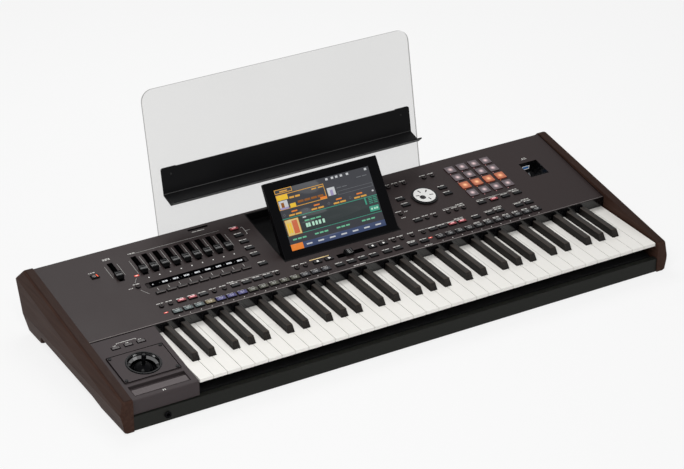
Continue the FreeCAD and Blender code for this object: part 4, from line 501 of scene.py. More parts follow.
def ebony():
    """Black key plastic: grain along the key, a painted highlight along the top edges, and painted shade on the
    sides and towards the foot.
    """
    finish = Finish("key_ebony", specular_ior_level=0.14)
    streaks = finish.clamp(finish.noise(330.0, 3.0, finish.stretched((1.0, 0.1, 1.0))) * 3.0 - 1.0)
    black = colours().black_key
    across = finish.facing(RIGHT)
    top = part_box("black_keys")[1].z
    fall = finish.along((0.0, 0.0, -1.0), (0.0, 0.0, top))
    # The bevel band is a painted highlight, the darkening towards the foot is painted shade, and faces that look
    # sideways get painted shade.
    edge = (fall > EBONY_FLAT) * (fall < EBONY_BEVEL)
    foot = finish.clamp(fall / EBONY_SHADE_FALL)
    grain = finish.mix(streaks, darker(black, 0.3), darker(black, 1.8))
    shaded = finish.mix(foot * 0.75, grain, darker(black, 0.35))
    shaded = finish.mix((across * across > EBONY_SHADED_SIDE) * 0.8, shaded, darker(black, 0.3))
    finish.surface(base_color=finish.mix(edge * 0.7, shaded, darker(black, 3.4)),
                   roughness=0.34 + streaks * 0.2)
    finish.bump(streaks, 0.08 * MM)
    return finish


COLLAR_RADIUS = 28.4 * MM
BOWL_RADIUS = 24.6 * MM


def joystick_plate_finish():
    """Matt plate whose round collar is black, with a polished coat in its bowl."""
    finish = moulded("joystick_plate", colours().block, 0.5, 0.6 * MM, 0.02 * MM)
    radius = finish.radius(BLOCK, 0.0, 0.0)
    finish.cover(radius < COLLAR_RADIUS, colours().gloss, 0.3)
    return finish.surface(coat_weight=radius < BOWL_RADIUS, coat_roughness=0.02, coat_ior=2.1)


PANEL_SKIN = 0.4 * MM
PANEL_REAR_EDGE = 1.0 * MM


def panel_finish():
    """Grained panel whose front wall, holes and pocket are black under a polished coat: the pocket's own gloss
    black, and painted shade on the front wall and in the holes.
    """
    finish = moulded("panel_grey", colours().panel, 0.44, 0.55 * MM, 0.022 * MM, shine=0.11)
    level = PANEL.corners("top_panel")
    length = level[level[:, 2] > -PANEL_SKIN / 2, 1].max()
    sunk = finish.along(PANEL.out, PANEL.origin) < -PANEL_SKIN
    inside = finish.along(PANEL.up, PANEL.origin) < float(length) - PANEL_REAR_EDGE
    # Sunk faces are black: painted shade on the front wall and in the holes, and the pocket's own gloss black.
    finish.cover(sunk * inside, colours().gloss, 0.24)
    return finish.surface(coat_weight=sunk * inside, coat_roughness=0.12)


DISC_RADIUS = 18.9 * MM
DIMPLE_TURN = math.radians(-144.0)
DIMPLE_OFFSET = 7.0 * MM * np.array((math.cos(DIMPLE_TURN), math.sin(DIMPLE_TURN)))
DIMPLE_RADIUS = 5.4 * MM


def dial_finish():
    """Black skirt, a white top brushed in rings about the dial's middle, and a black finger dimple."""
    middle = PANEL.local(np.array(JOINTS["dial_turn"]["pos_m"]))
    finish = Finish("dial_disc", specular_ior_level=0.2)
    radius = finish.radius(PANEL, middle[0], middle[1])
    rings = finish.noise(2200.0, 1.0, finish.node("CombineXYZ", {}, radius, 0.0, 0.0))
    dimple = finish.radius(PANEL, *(middle[:2] + DIMPLE_OFFSET)) > DIMPLE_RADIUS
    inside = (radius < DISC_RADIUS) * dimple
    finish.surface(base_color=finish.mix(inside, colours().gloss, colours().disc),
                   roughness=0.2 + rings * 0.15)
    finish.bump(rings, 0.01 * MM)
    return finish


PAD_RISE = 1.6 * MM
PAD_BEVEL = 0.3 * MM
PAD_HEART = 6.4 * MM


def pad_finish():
    """Translucent pads: a bright heart that fades outwards, one orange row, dull skin and dark red sides."""
    pads = islands("pads", PANEL)
    pitch = (pads[:, 0].max() - pads[:, 0].min()) / 3
    finish = Finish("pad_skin", roughness=0.42, specular_ior_level=0.1, emission_strength=1.0)
    corner = PANEL.at(pads[:, 0].min() - pitch / 2, pads[:, 1].min() - pitch / 2)
    right = finish.along(RIGHT, corner) % pitch - pitch / 2
    up = finish.along(PANEL.up, corner)
    across = up % pitch - pitch / 2
    distance = (right * right + across * across) ** 0.5
    glow = finish.clamp(1.0 - distance / PAD_HEART) ** 1.7
    wide = finish.clamp(1.0 - distance / (PAD_HEART * 2.0))
    lit = abs(finish.along(PANEL.up, PANEL.at(0.0, lit_pad_row(pads)))) < pitch / 2
    skin = finish.mix(lit, colours().pad, colours().pad_orange)
    cloth = finish.noise(1400.0, 2.0)
    side = finish.along(PANEL.out, PANEL.origin) < PAD_RISE - PAD_BEVEL
    face = finish.mix(cloth * 0.3, skin, colours().black)
    wall = finish.mix(lit, shade("pad_side"), shade("lit_pad_side"))
    finish.surface(base_color=finish.mix(side, face, wall))
    halo = finish.mix(wide * (0.1 + lit * 0.3), DARK, skin)
    heart_colour = finish.mix(lit, colours().pad_heart, colours().amber)
    finish.surface(emission_color=finish.mix(glow * 0.85, halo, heart_colour))
    finish.bump(cloth, 0.02 * MM)
    return finish


def lit_pad_row(pads):
    """Middle of the second row of pads, which is lit."""
    return np.unique(pads[:, 1].round(4))[1]


def lamp_finish():
    """Lamps: white in the fader row, red elsewhere."""
    lamps = islands("indicator_leds", PANEL)
    row = np.median(lamps[:, 1])
    finish = Finish("lamp_lens", roughness=0.25, coat_weight=0.5, emission_strength=1.6)
    white = abs(finish.along(PANEL.up, PANEL.at(0.0, row))) < ROW_REACH
    shimmer = finish.noise(3000.0, 1.0)
    colour = finish.mix(white, colours().red, darker(colours().ink, 0.32))
    finish.surface(base_color=colour, emission_color=finish.mix(shimmer * 0.3, colour, DARK))
    return finish


SHEET_SKIN = 0.3 * MM


def acrylic_finish():
    """Clear sheet, faintly grey, with darker and denser cut edges."""
    back = float(STAND.corners("stand_panel")[:, 2].min())
    finish = Finish("stand_acrylic", roughness=0.06, specular_ior_level=0.3)
    depth = finish.along(STAND.out, STAND.at(0.0, 0.0))
    core = (depth < -SHEET_SKIN) * (depth > back + SHEET_SKIN)
    haze = finish.noise(3.0, 2.0)
    clear = colours().acrylic
    finish.surface(base_color=finish.mix(core, clear, darker(clear, 0.35)),
                   alpha=0.12 + haze * 0.04 + core * 0.5)
    finish.material.surface_render_method = "BLENDED"
    return finish


def ink_finish():
    """Printed ink in the colour that is stored on each mark."""
    finish = Finish("print_ink", roughness=0.6, specular_ior_level=0.0)
    fade = finish.noise(1200.0, 2.0)
    finish.surface(base_color=finish.mix(fade * 0.25, finish.attribute("tint"), DARK))
    return finish


def lens_finish():
    """Button lenses in the colour that is stored on each, glowing where their light is stored."""
    finish = Finish("button_lens", roughness=0.35, specular_ior_level=0.15, emission_strength=1.0)
    cloud = finish.noise(500.0, 2.0)
    tint = finish.attribute("tint")
    finish.surface(base_color=finish.mix(cloud * 0.3, tint, DARK),
                   emission_color=finish.mix(cloud * 0.35, finish.attribute("light"), DARK))
    return finish


def picture_finish():
    """Lit screen picture behind a polished face."""
    finish = Finish("screen_picture", base_color=DARK, roughness=0.12, specular_ior_level=0.06,
                    emission_strength=1.0)
    raster = finish.noise(2600.0, 1.0)
    finish.surface(emission_color=finish.mix(raster * 0.2, finish.attribute("tint"), DARK))
    return finish


def paint(finish, *nodes):
    """Give nodes a material."""
    for node in nodes:
        data = frame["nodes"][node].data
        data.materials.clear()
        data.materials.append(finish.material)


def quads(plane, x, y, width, height, lift):
    """Level rectangles: the corners lie at middle plus or minus half a width and half a height."""
    x, y, width, height = np.broadcast_arrays(*(np.atleast_1d(value) for value in (x, y, width, height)))
    across = np.array((-0.5, 0.5, 0.5, -0.5))
    upward = np.array((-0.5, -0.5, 0.5, 0.5))
    return plane.at(x[:, None] + width[:, None] * across, y[:, None] + height[:, None] * upward, lift)


def strokes(plane, ends, weight, lift):
    """Straight lines between two points each: the corners lie half a weight to each side of the line."""
    ends = np.asarray(ends, float).reshape(-1, 2, 2)
    way = ends[:, 1] - ends[:, 0]
    side = np.stack((-way[:, 1], way[:, 0]), axis=1)
    side *= weight / 2 / np.linalg.norm(way, axis=1, keepdims=True)
    corners = np.stack((ends[:, 0] - side, ends[:, 1] - side, ends[:, 1] + side, ends[:, 0] + side), axis=1)
    return plane.at(corners[..., 0], corners[..., 1], lift)


def discs(plane, x, y, radius, lift, sides=16):
    """Round spots: corners at radius times the cosine and sine of even steps of a turn."""
    turn = np.arange(sides) * 2 * math.pi / sides
    x, y = np.broadcast_arrays(np.atleast_1d(x), np.atleast_1d(y))
    return plane.at(x[:, None] + radius * np.cos(turn), y[:, None] + radius * np.sin(turn), lift)


def rings(plane, x, y, inner, outer, lift, sides=32, start=0.0, sweep=2 * math.pi):
    """Flat rings or arcs: quads between two radii over even steps of the sweep."""
    x, y = np.broadcast_arrays(np.atleast_1d(x), np.atleast_1d(y))
    turn = start + np.linspace(0.0, sweep, sides + 1)
    turns = np.stack((turn[:-1], turn[:-1], turn[1:], turn[1:]), axis=1)
    radii = np.array((inner, outer, outer, inner))
    right = x[:, None, None] + radii * np.cos(turns)
    upward = y[:, None, None] + radii * np.sin(turns)
    return plane.at(right, upward, lift).reshape(-1, 4, 3)


def lenses(plane, x, y, width, height, base, rise, inset):
    """Low plates with sloping sides: a rectangle at the base joined to one inset by the rise."""
    low = quads(plane, x, y, width, height, base)
    high = quads(plane, x, y, np.asarray(width) - 2 * inset, np.asarray(height) - 2 * inset, base + rise)
    after = (1, 2, 3, 0)
    sides = np.stack((low, low[:, after], high[:, after], high), axis=2)
    return np.concatenate((high[:, None], sides), axis=1).reshape(-1, 4, 3)


def turned(centre, axis, profile, sides=32):
    """Turned shapes: profile points (radius, height) carried round an axis, with quads between the steps."""
    axis = np.asarray(axis, float) / np.linalg.norm(axis)
    first = np.cross(axis, RIGHT if abs(axis[0]) < 0.9 else (0.0, 1.0, 0.0))
    first /= np.linalg.norm(first)
    second = np.cross(axis, first)
    turn = np.linspace(0.0, 2 * math.pi, sides + 1)[:, None, None]
    radius, height = np.asarray(profile, float).T
    grid = centre + radius[:, None] * (np.cos(turn) * first + np.sin(turn) * second) + height[:, None] * axis
    return np.stack((grid[:-1, :-1], grid[1:, :-1], grid[1:, 1:], grid[:-1, 1:]), axis=2).reshape(-1, 4, 3)


MERGE_REACH = 0.002 * MM


class Marks:
    """Polygons gathered for one piece, with a colour and a light for each."""

    def __init__(self):
        self.polygons = []
        self.tints = []
        self.lights = []

    def add(self, polygons, tint=DARK, light=DARK):
        """Add polygons of one kind; tint and light are one colour, or one for each."""
        polygons = np.asarray(polygons, float)
        shape = (len(polygons), 4)
        self.polygons.append(polygons)
        self.tints.append(np.broadcast_to(tuple(tint), shape))
        self.lights.append(np.broadcast_to(tuple(light), shape))

    def piece(self, name, body, finish, slot, thickness=0.0, smooth=False):
        """One mesh of all the polygons, riding on a body."""
        points = np.concatenate([group.reshape(-1, 3) for group in self.polygons])
        totals = np.concatenate([np.full(len(group), group.shape[1]) for group in self.polygons])
        mesh = bpy.data.meshes.new(name)
        mesh.vertices.add(len(points))
        mesh.vertices.foreach_set("co", points.ravel())
        mesh.loops.add(len(points))
        mesh.loops.foreach_set("vertex_index", np.arange(len(points)))
        mesh.polygons.add(len(totals))
        mesh.polygons.foreach_set("loop_start", np.cumsum(totals) - totals)
        mesh.polygons.foreach_set("loop_total", totals)
        mesh.update(calc_edges=True)
        for layer, values in (("tint", self.tints), ("light", self.lights)):
            attribute = mesh.color_attributes.new(layer, "FLOAT_COLOR", "CORNER")
            attribute.data.foreach_set("color", np.repeat(np.concatenate(values), totals, axis=0).ravel())
        mesh.materials.append(finish.material)
        piece = bpy.data.objects.new(name, mesh)
        bpy.context.scene.collection.objects.link(piece)
        if smooth:
            merge = piece.modifiers.new("merge", "WELD")
            merge.merge_threshold = MERGE_REACH
            mesh.shade_smooth()
        if thickness:
            solid = piece.modifiers.new("thickness", "SOLIDIFY")
            solid.thickness = thickness
            solid.offset = -1.0
        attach(piece, body)


DASH_GAP = 0.6


def dashes(plane, x, y, length, lift, generator, parts=2):
    """A label of dashes: a row of short bars whose lengths share the label's length unevenly."""
    height = sizes().label
    gap = height * DASH_GAP
    bars = []
    for middle_x, middle_y, whole in np.broadcast(x, y, length):
        shares = 0.5 + generator.random(parts)
        shares = shares / shares.sum()
        edges = np.concatenate(((0.0,), np.cumsum(shares))) * whole - whole / 2
        widths = np.diff(edges) - gap
        bars.append(quads(plane, middle_x + (edges[:-1] + edges[1:]) / 2, middle_y, widths, height, lift))
    return np.concatenate(bars)


class KEYBOARD_OT_case(bpy.types.Operator):
    """Finish the panel, the rail, the cheeks, the tray and the feet"""

    bl_idname = "keyboard.case"
    bl_label = "Case"

    def execute(self, context):
        paint(panel_finish(), "top_panel")
        paint(moulded("rail_paint", colours().rail, 0.42, 0.8 * MM, 0.01 * MM, shine=0.13), "front_rail")
        paint(stained_cheek(), "left_cheek", "right_cheek")
        sheet = moulded("sheet_paint", colours().sheet, 0.55, 0.7 * MM, 0.02 * MM)
        paint(sheet, "bottom_tray", "rear_panel", "key_frame")
        paint(moulded("foot_rubber", colours().rubber, 0.8, 1.2 * MM, 0.05 * MM), "rubber_feet")
        return {"FINISHED"}


class KEYBOARD_OT_keys(bpy.types.Operator):
    """Finish the white and the black keys"""

    bl_idname = "keyboard.keys"
    bl_label = "Keys"

    def execute(self, context):
        paint(ivory(), *WHITE_KEYS)
        paint(ebony(), "black_keys")
        return {"FINISHED"}


class KEYBOARD_OT_block(bpy.types.Operator):
    """Finish the joystick block, its plate, the stick and the ribbon"""

    bl_idname = "keyboard.block"
    bl_label = "Joystick block"

    def execute(self, context):
        paint(moulded("block_grey", colours().block, 0.5, 0.55 * MM, 0.022 * MM), "joystick_housing")
        paint(joystick_plate_finish(), "joystick_plate")
        paint(polished("stick_gloss", colours().gloss), "joystick_stick")
        paint(moulded("gimbal_black", colours().black, 0.4, 0.5 * MM, 0.01 * MM), "joystick_gimbal")
        ribbon = moulded("ribbon_skin", darker(colours().block, 1.6), 0.36, 0.3 * MM, 0.012 * MM, shine=0.08)
        paint(ribbon, "ribbon_strip")
        paint(moulded("block_buttons", colours().black, 0.5, 0.4 * MM, 0.015 * MM), "joystick_buttons")
        return {"FINISHED"}


class KEYBOARD_OT_buttons(bpy.types.Operator):
    """Finish the buttons and lay their coloured lenses"""

    bl_idname = "keyboard.buttons"
    bl_label = "Buttons"

    def execute(self, context):
        dark = moulded("button_plastic", colours().black, 0.42, 0.35 * MM, 0.012 * MM)
        paint(dark, "style_buttons", "function_buttons", "fader_buttons", "power_button")
        paint(polished("round_button_plastic", colours().black, 0.25), "round_buttons")
        lens = lens_finish()
        style_lenses(lens)
        function_lenses(lens)
        power_sign(lens)
        block_button_tops(lens)
        fader_button_tops(lens)
        round_button_rims(lens)
        return {"FINISHED"}


BUTTON_RISE = 2.2 * MM
UPPER_ROW = 36.3 * MM
MIDDLE_ROW = 67.8 * MM
ROW_REACH = 4.0 * MM
LIT_UPPER = [0, 1, 13, 14]
LIT_MIDDLE = 3
SIGN_BUTTONS = slice(7, 11)
LENS_INSET = 0.9 * MM
LENS_FACES = 5
FLANGE = 1.6 * MM
FRONT_EDGE = 0.6 * MM
RIM_HIGHLIGHT_RADII = (2.3 * MM, 3.0 * MM)
LIT_CORE = (0.6 * MM, 0.45, 0.24)
SIGN_SQUARE = 3.6 * MM
SIGN_TRIANGLE = 3.0 * MM
STYLE_TINTS = (((70, 82, 82), 3), ((116, 104, 74), 1), ((62, 60, 112), 3), ((62, 62, 50), 5),
               ((46, 46, 50), 3), ((24, 24, 26), 11))
STYLE_DASHES = ((0.9 * MM, 0.5, 1.0), (-1.4 * MM, 0.35, 0.8))
POWER_RING_SHIFT = np.array((-1.6, 0.0)) * MM
POWER_RING_RADII = (1.5 * MM, 2.2 * MM)
POWER_RING_ARC = {"start": 2.1, "sweep": 5.2}
POWER_STROKE = np.array(((0.0, 0.6), (0.0, 2.6))) * MM
POWER_STROKE_WEIGHT = 0.6 * MM
POWER_BAR = np.array(((3.0, 3.2), (4.2, -3.2))) * MM
POWER_BAR_WEIGHT = 2.0 * MM


def lens_sizes(buttons):
    """Width and height of the lens on each button: the button less its flange and a margin."""
    return buttons[:, 2:].T - FLANGE - LENS_INSET


def button_lenses(plane, buttons, top=BUTTON_RISE):
    """A lens on the top of each button."""
    return lenses(plane, *buttons[:, :2].T, *lens_sizes(buttons), top, sizes().lens, sizes().lens)


def lens_level(layers=1):
    """The level of marks on a button's lens, some layers up."""
    return BUTTON_RISE + sizes().lens + layers * sizes().lift


def style_lenses(finish):
    """A tinted lens on each button of the front row, with two rows of pale dashes on it."""
    buttons = islands("style_buttons", PANEL)
    tints = np.concatenate([np.tile(srgb(*tint), (count, 1)) for tint, count in STYLE_TINTS])
    marks = Marks()
    marks.add(button_lenses(PANEL, buttons), np.repeat(tints, LENS_FACES, axis=0))
    marks.piece("style_lenses", "style_buttons", finish, "button_grey")
    generator = np.random.default_rng(11)
    signs = Marks()
    pale = np.minimum(tints * 2.0 + 0.42, 1.0)
    x, y, width = buttons[:, :3].T
    for shift, share, light in STYLE_DASHES:
        bars = dashes(PANEL, x, y + shift, width * share, lens_level(), generator)
        signs.add(bars, np.repeat(pale * light, 2, axis=0))
    signs.piece("style_signs", "style_buttons", ink_finish(), "button_grey", sizes().lift)


def power_sign(finish):
    """A ring with a stroke, and a lit red bar beside it, on the power button."""
    middle = islands("power_button", PANEL)[0][:2]
    left = middle + POWER_RING_SHIFT
    lift = BUTTON_RISE + sizes().lift
    pale = shade("power_ring")
    red = shade("power_bar")
    marks = Marks()
    marks.add(rings(PANEL, *left, *POWER_RING_RADII, lift, **POWER_RING_ARC), pale)
    marks.add(strokes(PANEL, left + POWER_STROKE, POWER_STROKE_WEIGHT, lift), pale)
    marks.add(strokes(PANEL, middle + POWER_BAR, POWER_BAR_WEIGHT, lift), red, red * 0.6)
    marks.piece("power_sign", "power_button", finish, "button_grey", sizes().lift)


def block_button_tops(finish):
    """Paler tops on the three buttons of the joystick block."""
    buttons = islands("joystick_buttons", BLOCK)
    top = BLOCK.height("joystick_buttons")
    marks = Marks()
    marks.add(button_lenses(BLOCK, buttons, top), shade("block_button"))
    marks.piece("block_button_tops", "joystick_buttons", finish, "button_grey")


def fader_button_tops(finish):
    """Tops of the buttons under the faders, each with a painted highlight along its front edge."""
    buttons = islands("fader_buttons", PANEL)
    x, y = buttons[:, :2].T
    width, height = lens_sizes(buttons)
    marks = Marks()
    marks.add(button_lenses(PANEL, buttons), shade("fader_button"))
    # The pale strip along each top's front edge is a painted highlight.
    edges = quads(PANEL, x, y - height / 2 + FRONT_EDGE, width - 2 * sizes().lens, FRONT_EDGE, lens_level())
    marks.add(edges, shade("fader_button_highlight"))
    marks.piece("fader_button_tops", "fader_buttons", finish, "button_grey")


def round_button_rims(finish):
    """A painted highlight: a dull bright ring on the top of each round button."""
    x, y = islands("round_buttons", PANEL)[:, :2].T
    marks = Marks()
    # The ring is a painted highlight on the rim.
    marks.add(rings(PANEL, x, y, *RIM_HIGHLIGHT_RADII, BUTTON_RISE + sizes().lift, 16), shade("round_rim_highlight"))
    marks.piece("round_button_rims", "round_buttons", finish, "button_grey", sizes().lift)


def function_lenses(finish):
    """Lenses of the other wide buttons: most dark, some lit with a pale core, and four with white signs."""
    buttons = islands("function_buttons", PANEL)
    lit = lit_functions(buttons)
    tints = np.where(lit[:, None], darker(colours().rose, 0.42), shade("dark_lens"))
    lights = np.where(lit[:, None], darker(colours().rose, 0.12), DARK)
    marks = Marks()
    marks.add(button_lenses(PANEL, buttons), np.repeat(tints, LENS_FACES, axis=0),
              np.repeat(lights, LENS_FACES, axis=0))
    core = shade("lit_core")
    x, y, width, height = buttons[lit].T
    shift, wide, tall = LIT_CORE
    marks.add(quads(PANEL, x, y + shift, width * wide, height * tall, lens_level()), core, core * 0.5)
    white = shade("sign")
    x, y = buttons[row_of(buttons, UPPER_ROW)[SIGN_BUTTONS], :2].T
    marks.add(quads(PANEL, x[::2], y[::2], SIGN_SQUARE, SIGN_SQUARE, lens_level(2)), white)
    marks.add(discs(PANEL, x[1::2], y[1::2], SIGN_TRIANGLE, lens_level(2), 3), white)
    marks.piece("function_lenses", "function_buttons", finish, "button_grey")


def row_of(buttons, level):
    """Which buttons lie in the row at a level, left to right."""
    chosen = np.flatnonzero(np.abs(buttons[:, 1] - level) < ROW_REACH)
    return chosen[np.argsort(buttons[chosen, 0])]


def lit_functions(buttons):
    """Which wide buttons are lit: two pairs in the upper row, one in the middle row and the rearmost one."""
    chosen = np.zeros(len(buttons), bool)
    chosen[row_of(buttons, UPPER_ROW)[LIT_UPPER]] = True
    chosen[row_of(buttons, MIDDLE_ROW)[LIT_MIDDLE]] = True
    chosen[np.argmax(buttons[:, 1])] = True
    return chosen


class KEYBOARD_OT_pads(bpy.types.Operator):
    """Finish the pads and the lamps"""

    bl_idname = "keyboard.pads"
    bl_label = "Pads and lamps"

    def execute(self, context):
        paint(pad_finish(), "pads")
        paint(lamp_finish(), "indicator_leds")
        lens = lens_finish()
        pad_lamps(lens)
        bar_lamps(lens)
        return {"FINISHED"}


PAD_LAMP = np.array((-5.6, -10.4)) * MM
PAD_LAMP_RADIUS = 0.9 * MM
BAR_LAMPS = np.array(((29.4, 121.1, 8.0, 3.4), (30.2, 19.5, 7.0, 2.4), (513.9, 19.5, 7.0, 2.4))) * MM
BAR_RISE = 0.3 * MM


def pad_lamps(finish):
    """A small glowing dot at the near left of each pad."""
    pads = islands("pads", PANEL)
    lit = np.abs(pads[:, 1] - lit_pad_row(pads)) < PAD_RISE
    tints = np.where(lit[:, None], shade("lit_pad_lamp"), shade("pad_lamp"))
    marks = Marks()
    x, y = (pads[:, :2] + PAD_LAMP).T
    marks.add(discs(PANEL, x, y, PAD_LAMP_RADIUS, sizes().lift), tints, tints * 0.4)
    marks.piece("pad_lamps", "case", finish, "lamp", sizes().lift)


def bar_lamps(finish):
    """Lit red bars over three of the round lamps, each with a pale core."""
    x, y, width, height = BAR_LAMPS.T
    marks = Marks()
    red = shade("bar_lamp")
    core = shade("bar_core")
    marks.add(lenses(PANEL, x, y, width, height, sizes().lift, BAR_RISE, BAR_RISE), red, red * 0.5)
    marks.add(quads(PANEL, x, y, width * 0.5, height * 0.4, BAR_RISE + 2 * sizes().lift), core, core * 0.6)
    marks.piece("bar_lamps", "case", finish, "lamp")


class KEYBOARD_OT_faders(bpy.types.Operator):
    """Finish the fader caps, their tracks and the strip that names them"""

    bl_idname = "keyboard.faders"
    bl_label = "Faders"

    def execute(self, context):
        paint(moulded("cap_black", colours().black, 0.4, 0.4 * MM, 0.02 * MM), *FADER_CAPS)
        track = moulded("track_black", darker(colours().black, 0.3), 0.6, 0.6 * MM, 0.02 * MM, shine=0.0)
        paint(track, "fader_tracks")
        paint(polished("strip_glass", darker(colours().gloss, 0.5), 0.06, 0.0), "fader_display")
        ink = ink_finish()
        for name in FADER_CAPS:
            cap_line(name, ink)
        strip_marks(picture_finish())
        return {"FINISHED"}


CAP_DIP = 1.88 * MM
CAP_DIP_RADIUS = 11.0 * MM
CAP_LINES = np.array(((-1.5, 176), (0.6, 146), (4.0, 100), (-4.4, 78)))
CAP_LINE_WIDTH = 0.9 * MM
CAP_HALF = 0.49
CAP_EDGE_LINE = 0.43
CAP_EDGE_REACH = 5.6 * MM
CAP_EDGE_HIGHLIGHT = 104.0
STRIP_SHIFT = 0.4 * MM
STRIP_ROWS = (-0.9 * MM, 0.9 * MM)
STRIP_LABEL = 10.0 * MM
STRIP_SPOT = -2.2 * MM
STRIP_SPOT_RADIUS = 1.1 * MM
STRIP_DOT_RADIUS = 0.5 * MM
STRIP_END = np.array((6.0, 3.0)) * MM
STRIP_END_INSET = 7.0 * MM


def cap_line(name, ink):
    """Pale lines on a cap's dip, four across it and one down its left edge: one line across is print, and the
    others and the edge line are painted highlights.

    The dip rises from its bottom by its radius less the root of radius squared less offset squared.
    """
    cap = PANEL.corners(name)
    low = cap.min(0)
    high = cap.max(0)
    middle = (low + high) / 2
    sideways = name == "balance_fader_cap"
    wide = (high - low)[1 if sideways else 0]
    offsets = CAP_LINES[:, 0] * MM
    steps = np.linspace(-CAP_EDGE_REACH, CAP_EDGE_REACH, 7)
    near = np.concatenate((offsets - CAP_LINE_WIDTH / 2, steps[:-1]))
    far = np.concatenate((offsets + CAP_LINE_WIDTH / 2, steps[1:]))
    left = np.full(len(near), -CAP_HALF * wide)
    right = np.repeat((CAP_HALF * wide, -CAP_EDGE_LINE * wide), (len(offsets), len(steps) - 1))
    along = np.stack((near, near, far, far), axis=1)
    across = np.stack((left, right, right, left), axis=1)
    rise = CAP_DIP_RADIUS - np.sqrt(CAP_DIP_RADIUS ** 2 - along ** 2) + 2 * sizes().lift
    place = (along, across) if sideways else (across, along)
    polygons = PANEL.at(middle[0] + place[0], middle[1] + place[1], high[2] - CAP_DIP + rise)
    # One line across is print; the other lines across and the line down the left edge are painted highlights.
    greys = np.concatenate((CAP_LINES[:, 1], np.full(len(steps) - 1, CAP_EDGE_HIGHLIGHT)))
    marks = Marks()
    marks.add(polygons[:, ::-1] if sideways else polygons, [srgb(grey, grey, grey) for grey in greys])
    marks.piece(name + "_line", name, ink, "black_matt", sizes().lift)


def strip_marks(finish):
    """Lit dashes on the fader strip, a spot for the first fader, dots between the faders and dull ends."""
    strip = islands("fader_display", PANEL)[0]
    faders = fader_columns()
    step = np.diff(faders).mean()
    height = PANEL.height("fader_display") + sizes().lift
    generator = np.random.default_rng(5)
    marks = Marks()
    white = shade("strip_light")
    middle = strip[1] + STRIP_SHIFT
    for offset in STRIP_ROWS:
        marks.add(dashes(PANEL, faders[1:], middle + offset, STRIP_LABEL, height, generator), white)
    marks.add(discs(PANEL, faders[0] + STRIP_SPOT, middle, STRIP_SPOT_RADIUS, height), white)
    marks.add(discs(PANEL, faders[1:] - step / 2, strip[1], STRIP_DOT_RADIUS, height), darker(white, 0.3))
    ends = strip[0] + np.array((-0.5, 0.5)) * (strip[2] - STRIP_END_INSET)
    marks.add(quads(PANEL, ends, strip[1], STRIP_END[0], strip[3] - STRIP_END[1], height), shade("strip_end"))
    marks.piece("strip_marks", "case", finish, "black_gloss", sizes().lift)


def fader_columns():
    """Middles of the nine faders along the panel."""
    names = sorted(name for name in FADER_CAPS if name.startswith("assign"))
    return np.array([islands(name, PANEL)[0][0] for name in names])


RAY_COUNT = 5
RAY_TURN = 0.2
RAY_ENDS = np.array((8.8, 15.6)) * MM
RAY_WEIGHT = 2.0 * MM


class KEYBOARD_OT_dial(bpy.types.Operator):
    """Finish the data dial and its printed rays"""

    bl_idname = "keyboard.dial"
    bl_label = "Data dial"

    def execute(self, context):
        paint(dial_finish(), "data_dial")
        middle = PANEL.local(np.array(JOINTS["dial_turn"]["pos_m"]))
        top = PANEL.height("data_dial") + sizes().lift
        turn = DIMPLE_TURN + RAY_TURN + np.arange(1, RAY_COUNT + 1) * math.pi / 3
        way = np.stack((np.cos(turn), np.sin(turn)), axis=1)
        ends = middle[:2] + way[:, None] * RAY_ENDS[:, None]
        marks = Marks()
        marks.add(strokes(PANEL, ends, RAY_WEIGHT, top), shade("dial_ray"))
        marks.piece("dial_rays", "dial", ink_finish(), "dial_white", sizes().lift)
        return {"FINISHED"}


class KEYBOARD_OT_display(bpy.types.Operator):
    """Finish the display, its well and the picture on its glass"""

    bl_idname = "keyboard.display"
    bl_label = "Display"

    def execute(self, context):
        paint(polished("display_shell", colours().gloss, 0.22), "display_housing")
        paint(polished("display_glass", colours().gloss, 0.06, 0.02), "display_screen")
        paint(moulded("well_black", darker(colours().black, 0.5), 0.6, 0.6 * MM, 0.02 * MM), "display_well")
        paint(metal("pin_steel", colours().steel), "display_hinge_pins")
        screen_picture(picture_finish())
        return {"FINISHED"}


PICTURE_HIGH = 114.0 * MM
PICTURE_TALL = 102.0 * MM
PICTURE_WIDTH = 176.5 * MM
PICTURE_SHIFT = -1.5 * MM
PICTURE_LAYER = 0.4
DIAMOND_SHARES = np.array((0.03, 0.266, 0.498, 0.725))
DIAMOND_TOP = 0.42
DIAMOND_RADII = (1.7 * MM, 2.4 * MM)
PICTURE_TINTS = {"ground": (68, 69, 74), "band": (60, 66, 67), "grey": (112, 114, 118),
                 "pale": (204, 206, 208), "amber": (222, 166, 76), "yellow": (240, 196, 62),
                 "brown": (148, 92, 44), "orange": (234, 134, 58), "teal": (70, 156, 132),
                 "green": (112, 190, 152), "mint": (186, 230, 206), "slate": (66, 78, 110),
                 "cream": (222, 196, 128), "lilac": (160, 150, 190), "rust": (206, 110, 76)}


def picture_place(across, down):
    """A place on the glass, from shares of the picture from its left and from its upper edge."""
    return PICTURE_SHIFT + (across - 0.5) * PICTURE_WIDTH, PICTURE_HIGH - down * PICTURE_TALL


def tiles(shares, lift):
    """Rectangles of the picture: left, top, right and foot as shares from its left and its upper edge."""
    left, top, right, foot = np.asarray(shares, float).reshape(-1, 4).T
    x, y = picture_place((left + right) / 2, (top + foot) / 2)
    return quads(DISPLAY, x, y, (right - left) * PICTURE_WIDTH, (foot - top) * PICTURE_TALL, lift)


def frame_tiles(left, top, right, foot, weight=0.006):
    """Shares of the four sides of an outlined box."""
    tall = weight * PICTURE_WIDTH / PICTURE_TALL
    return [(left, top, right, top + tall), (left, foot - tall, right, foot),
            (left, top, left + weight, foot), (right - weight, top, right, foot)]


def bars(lefts, top, width, height):
    """Shares of equal bars in a row."""
    return [(left, top, left + width, top + height) for left in lefts]


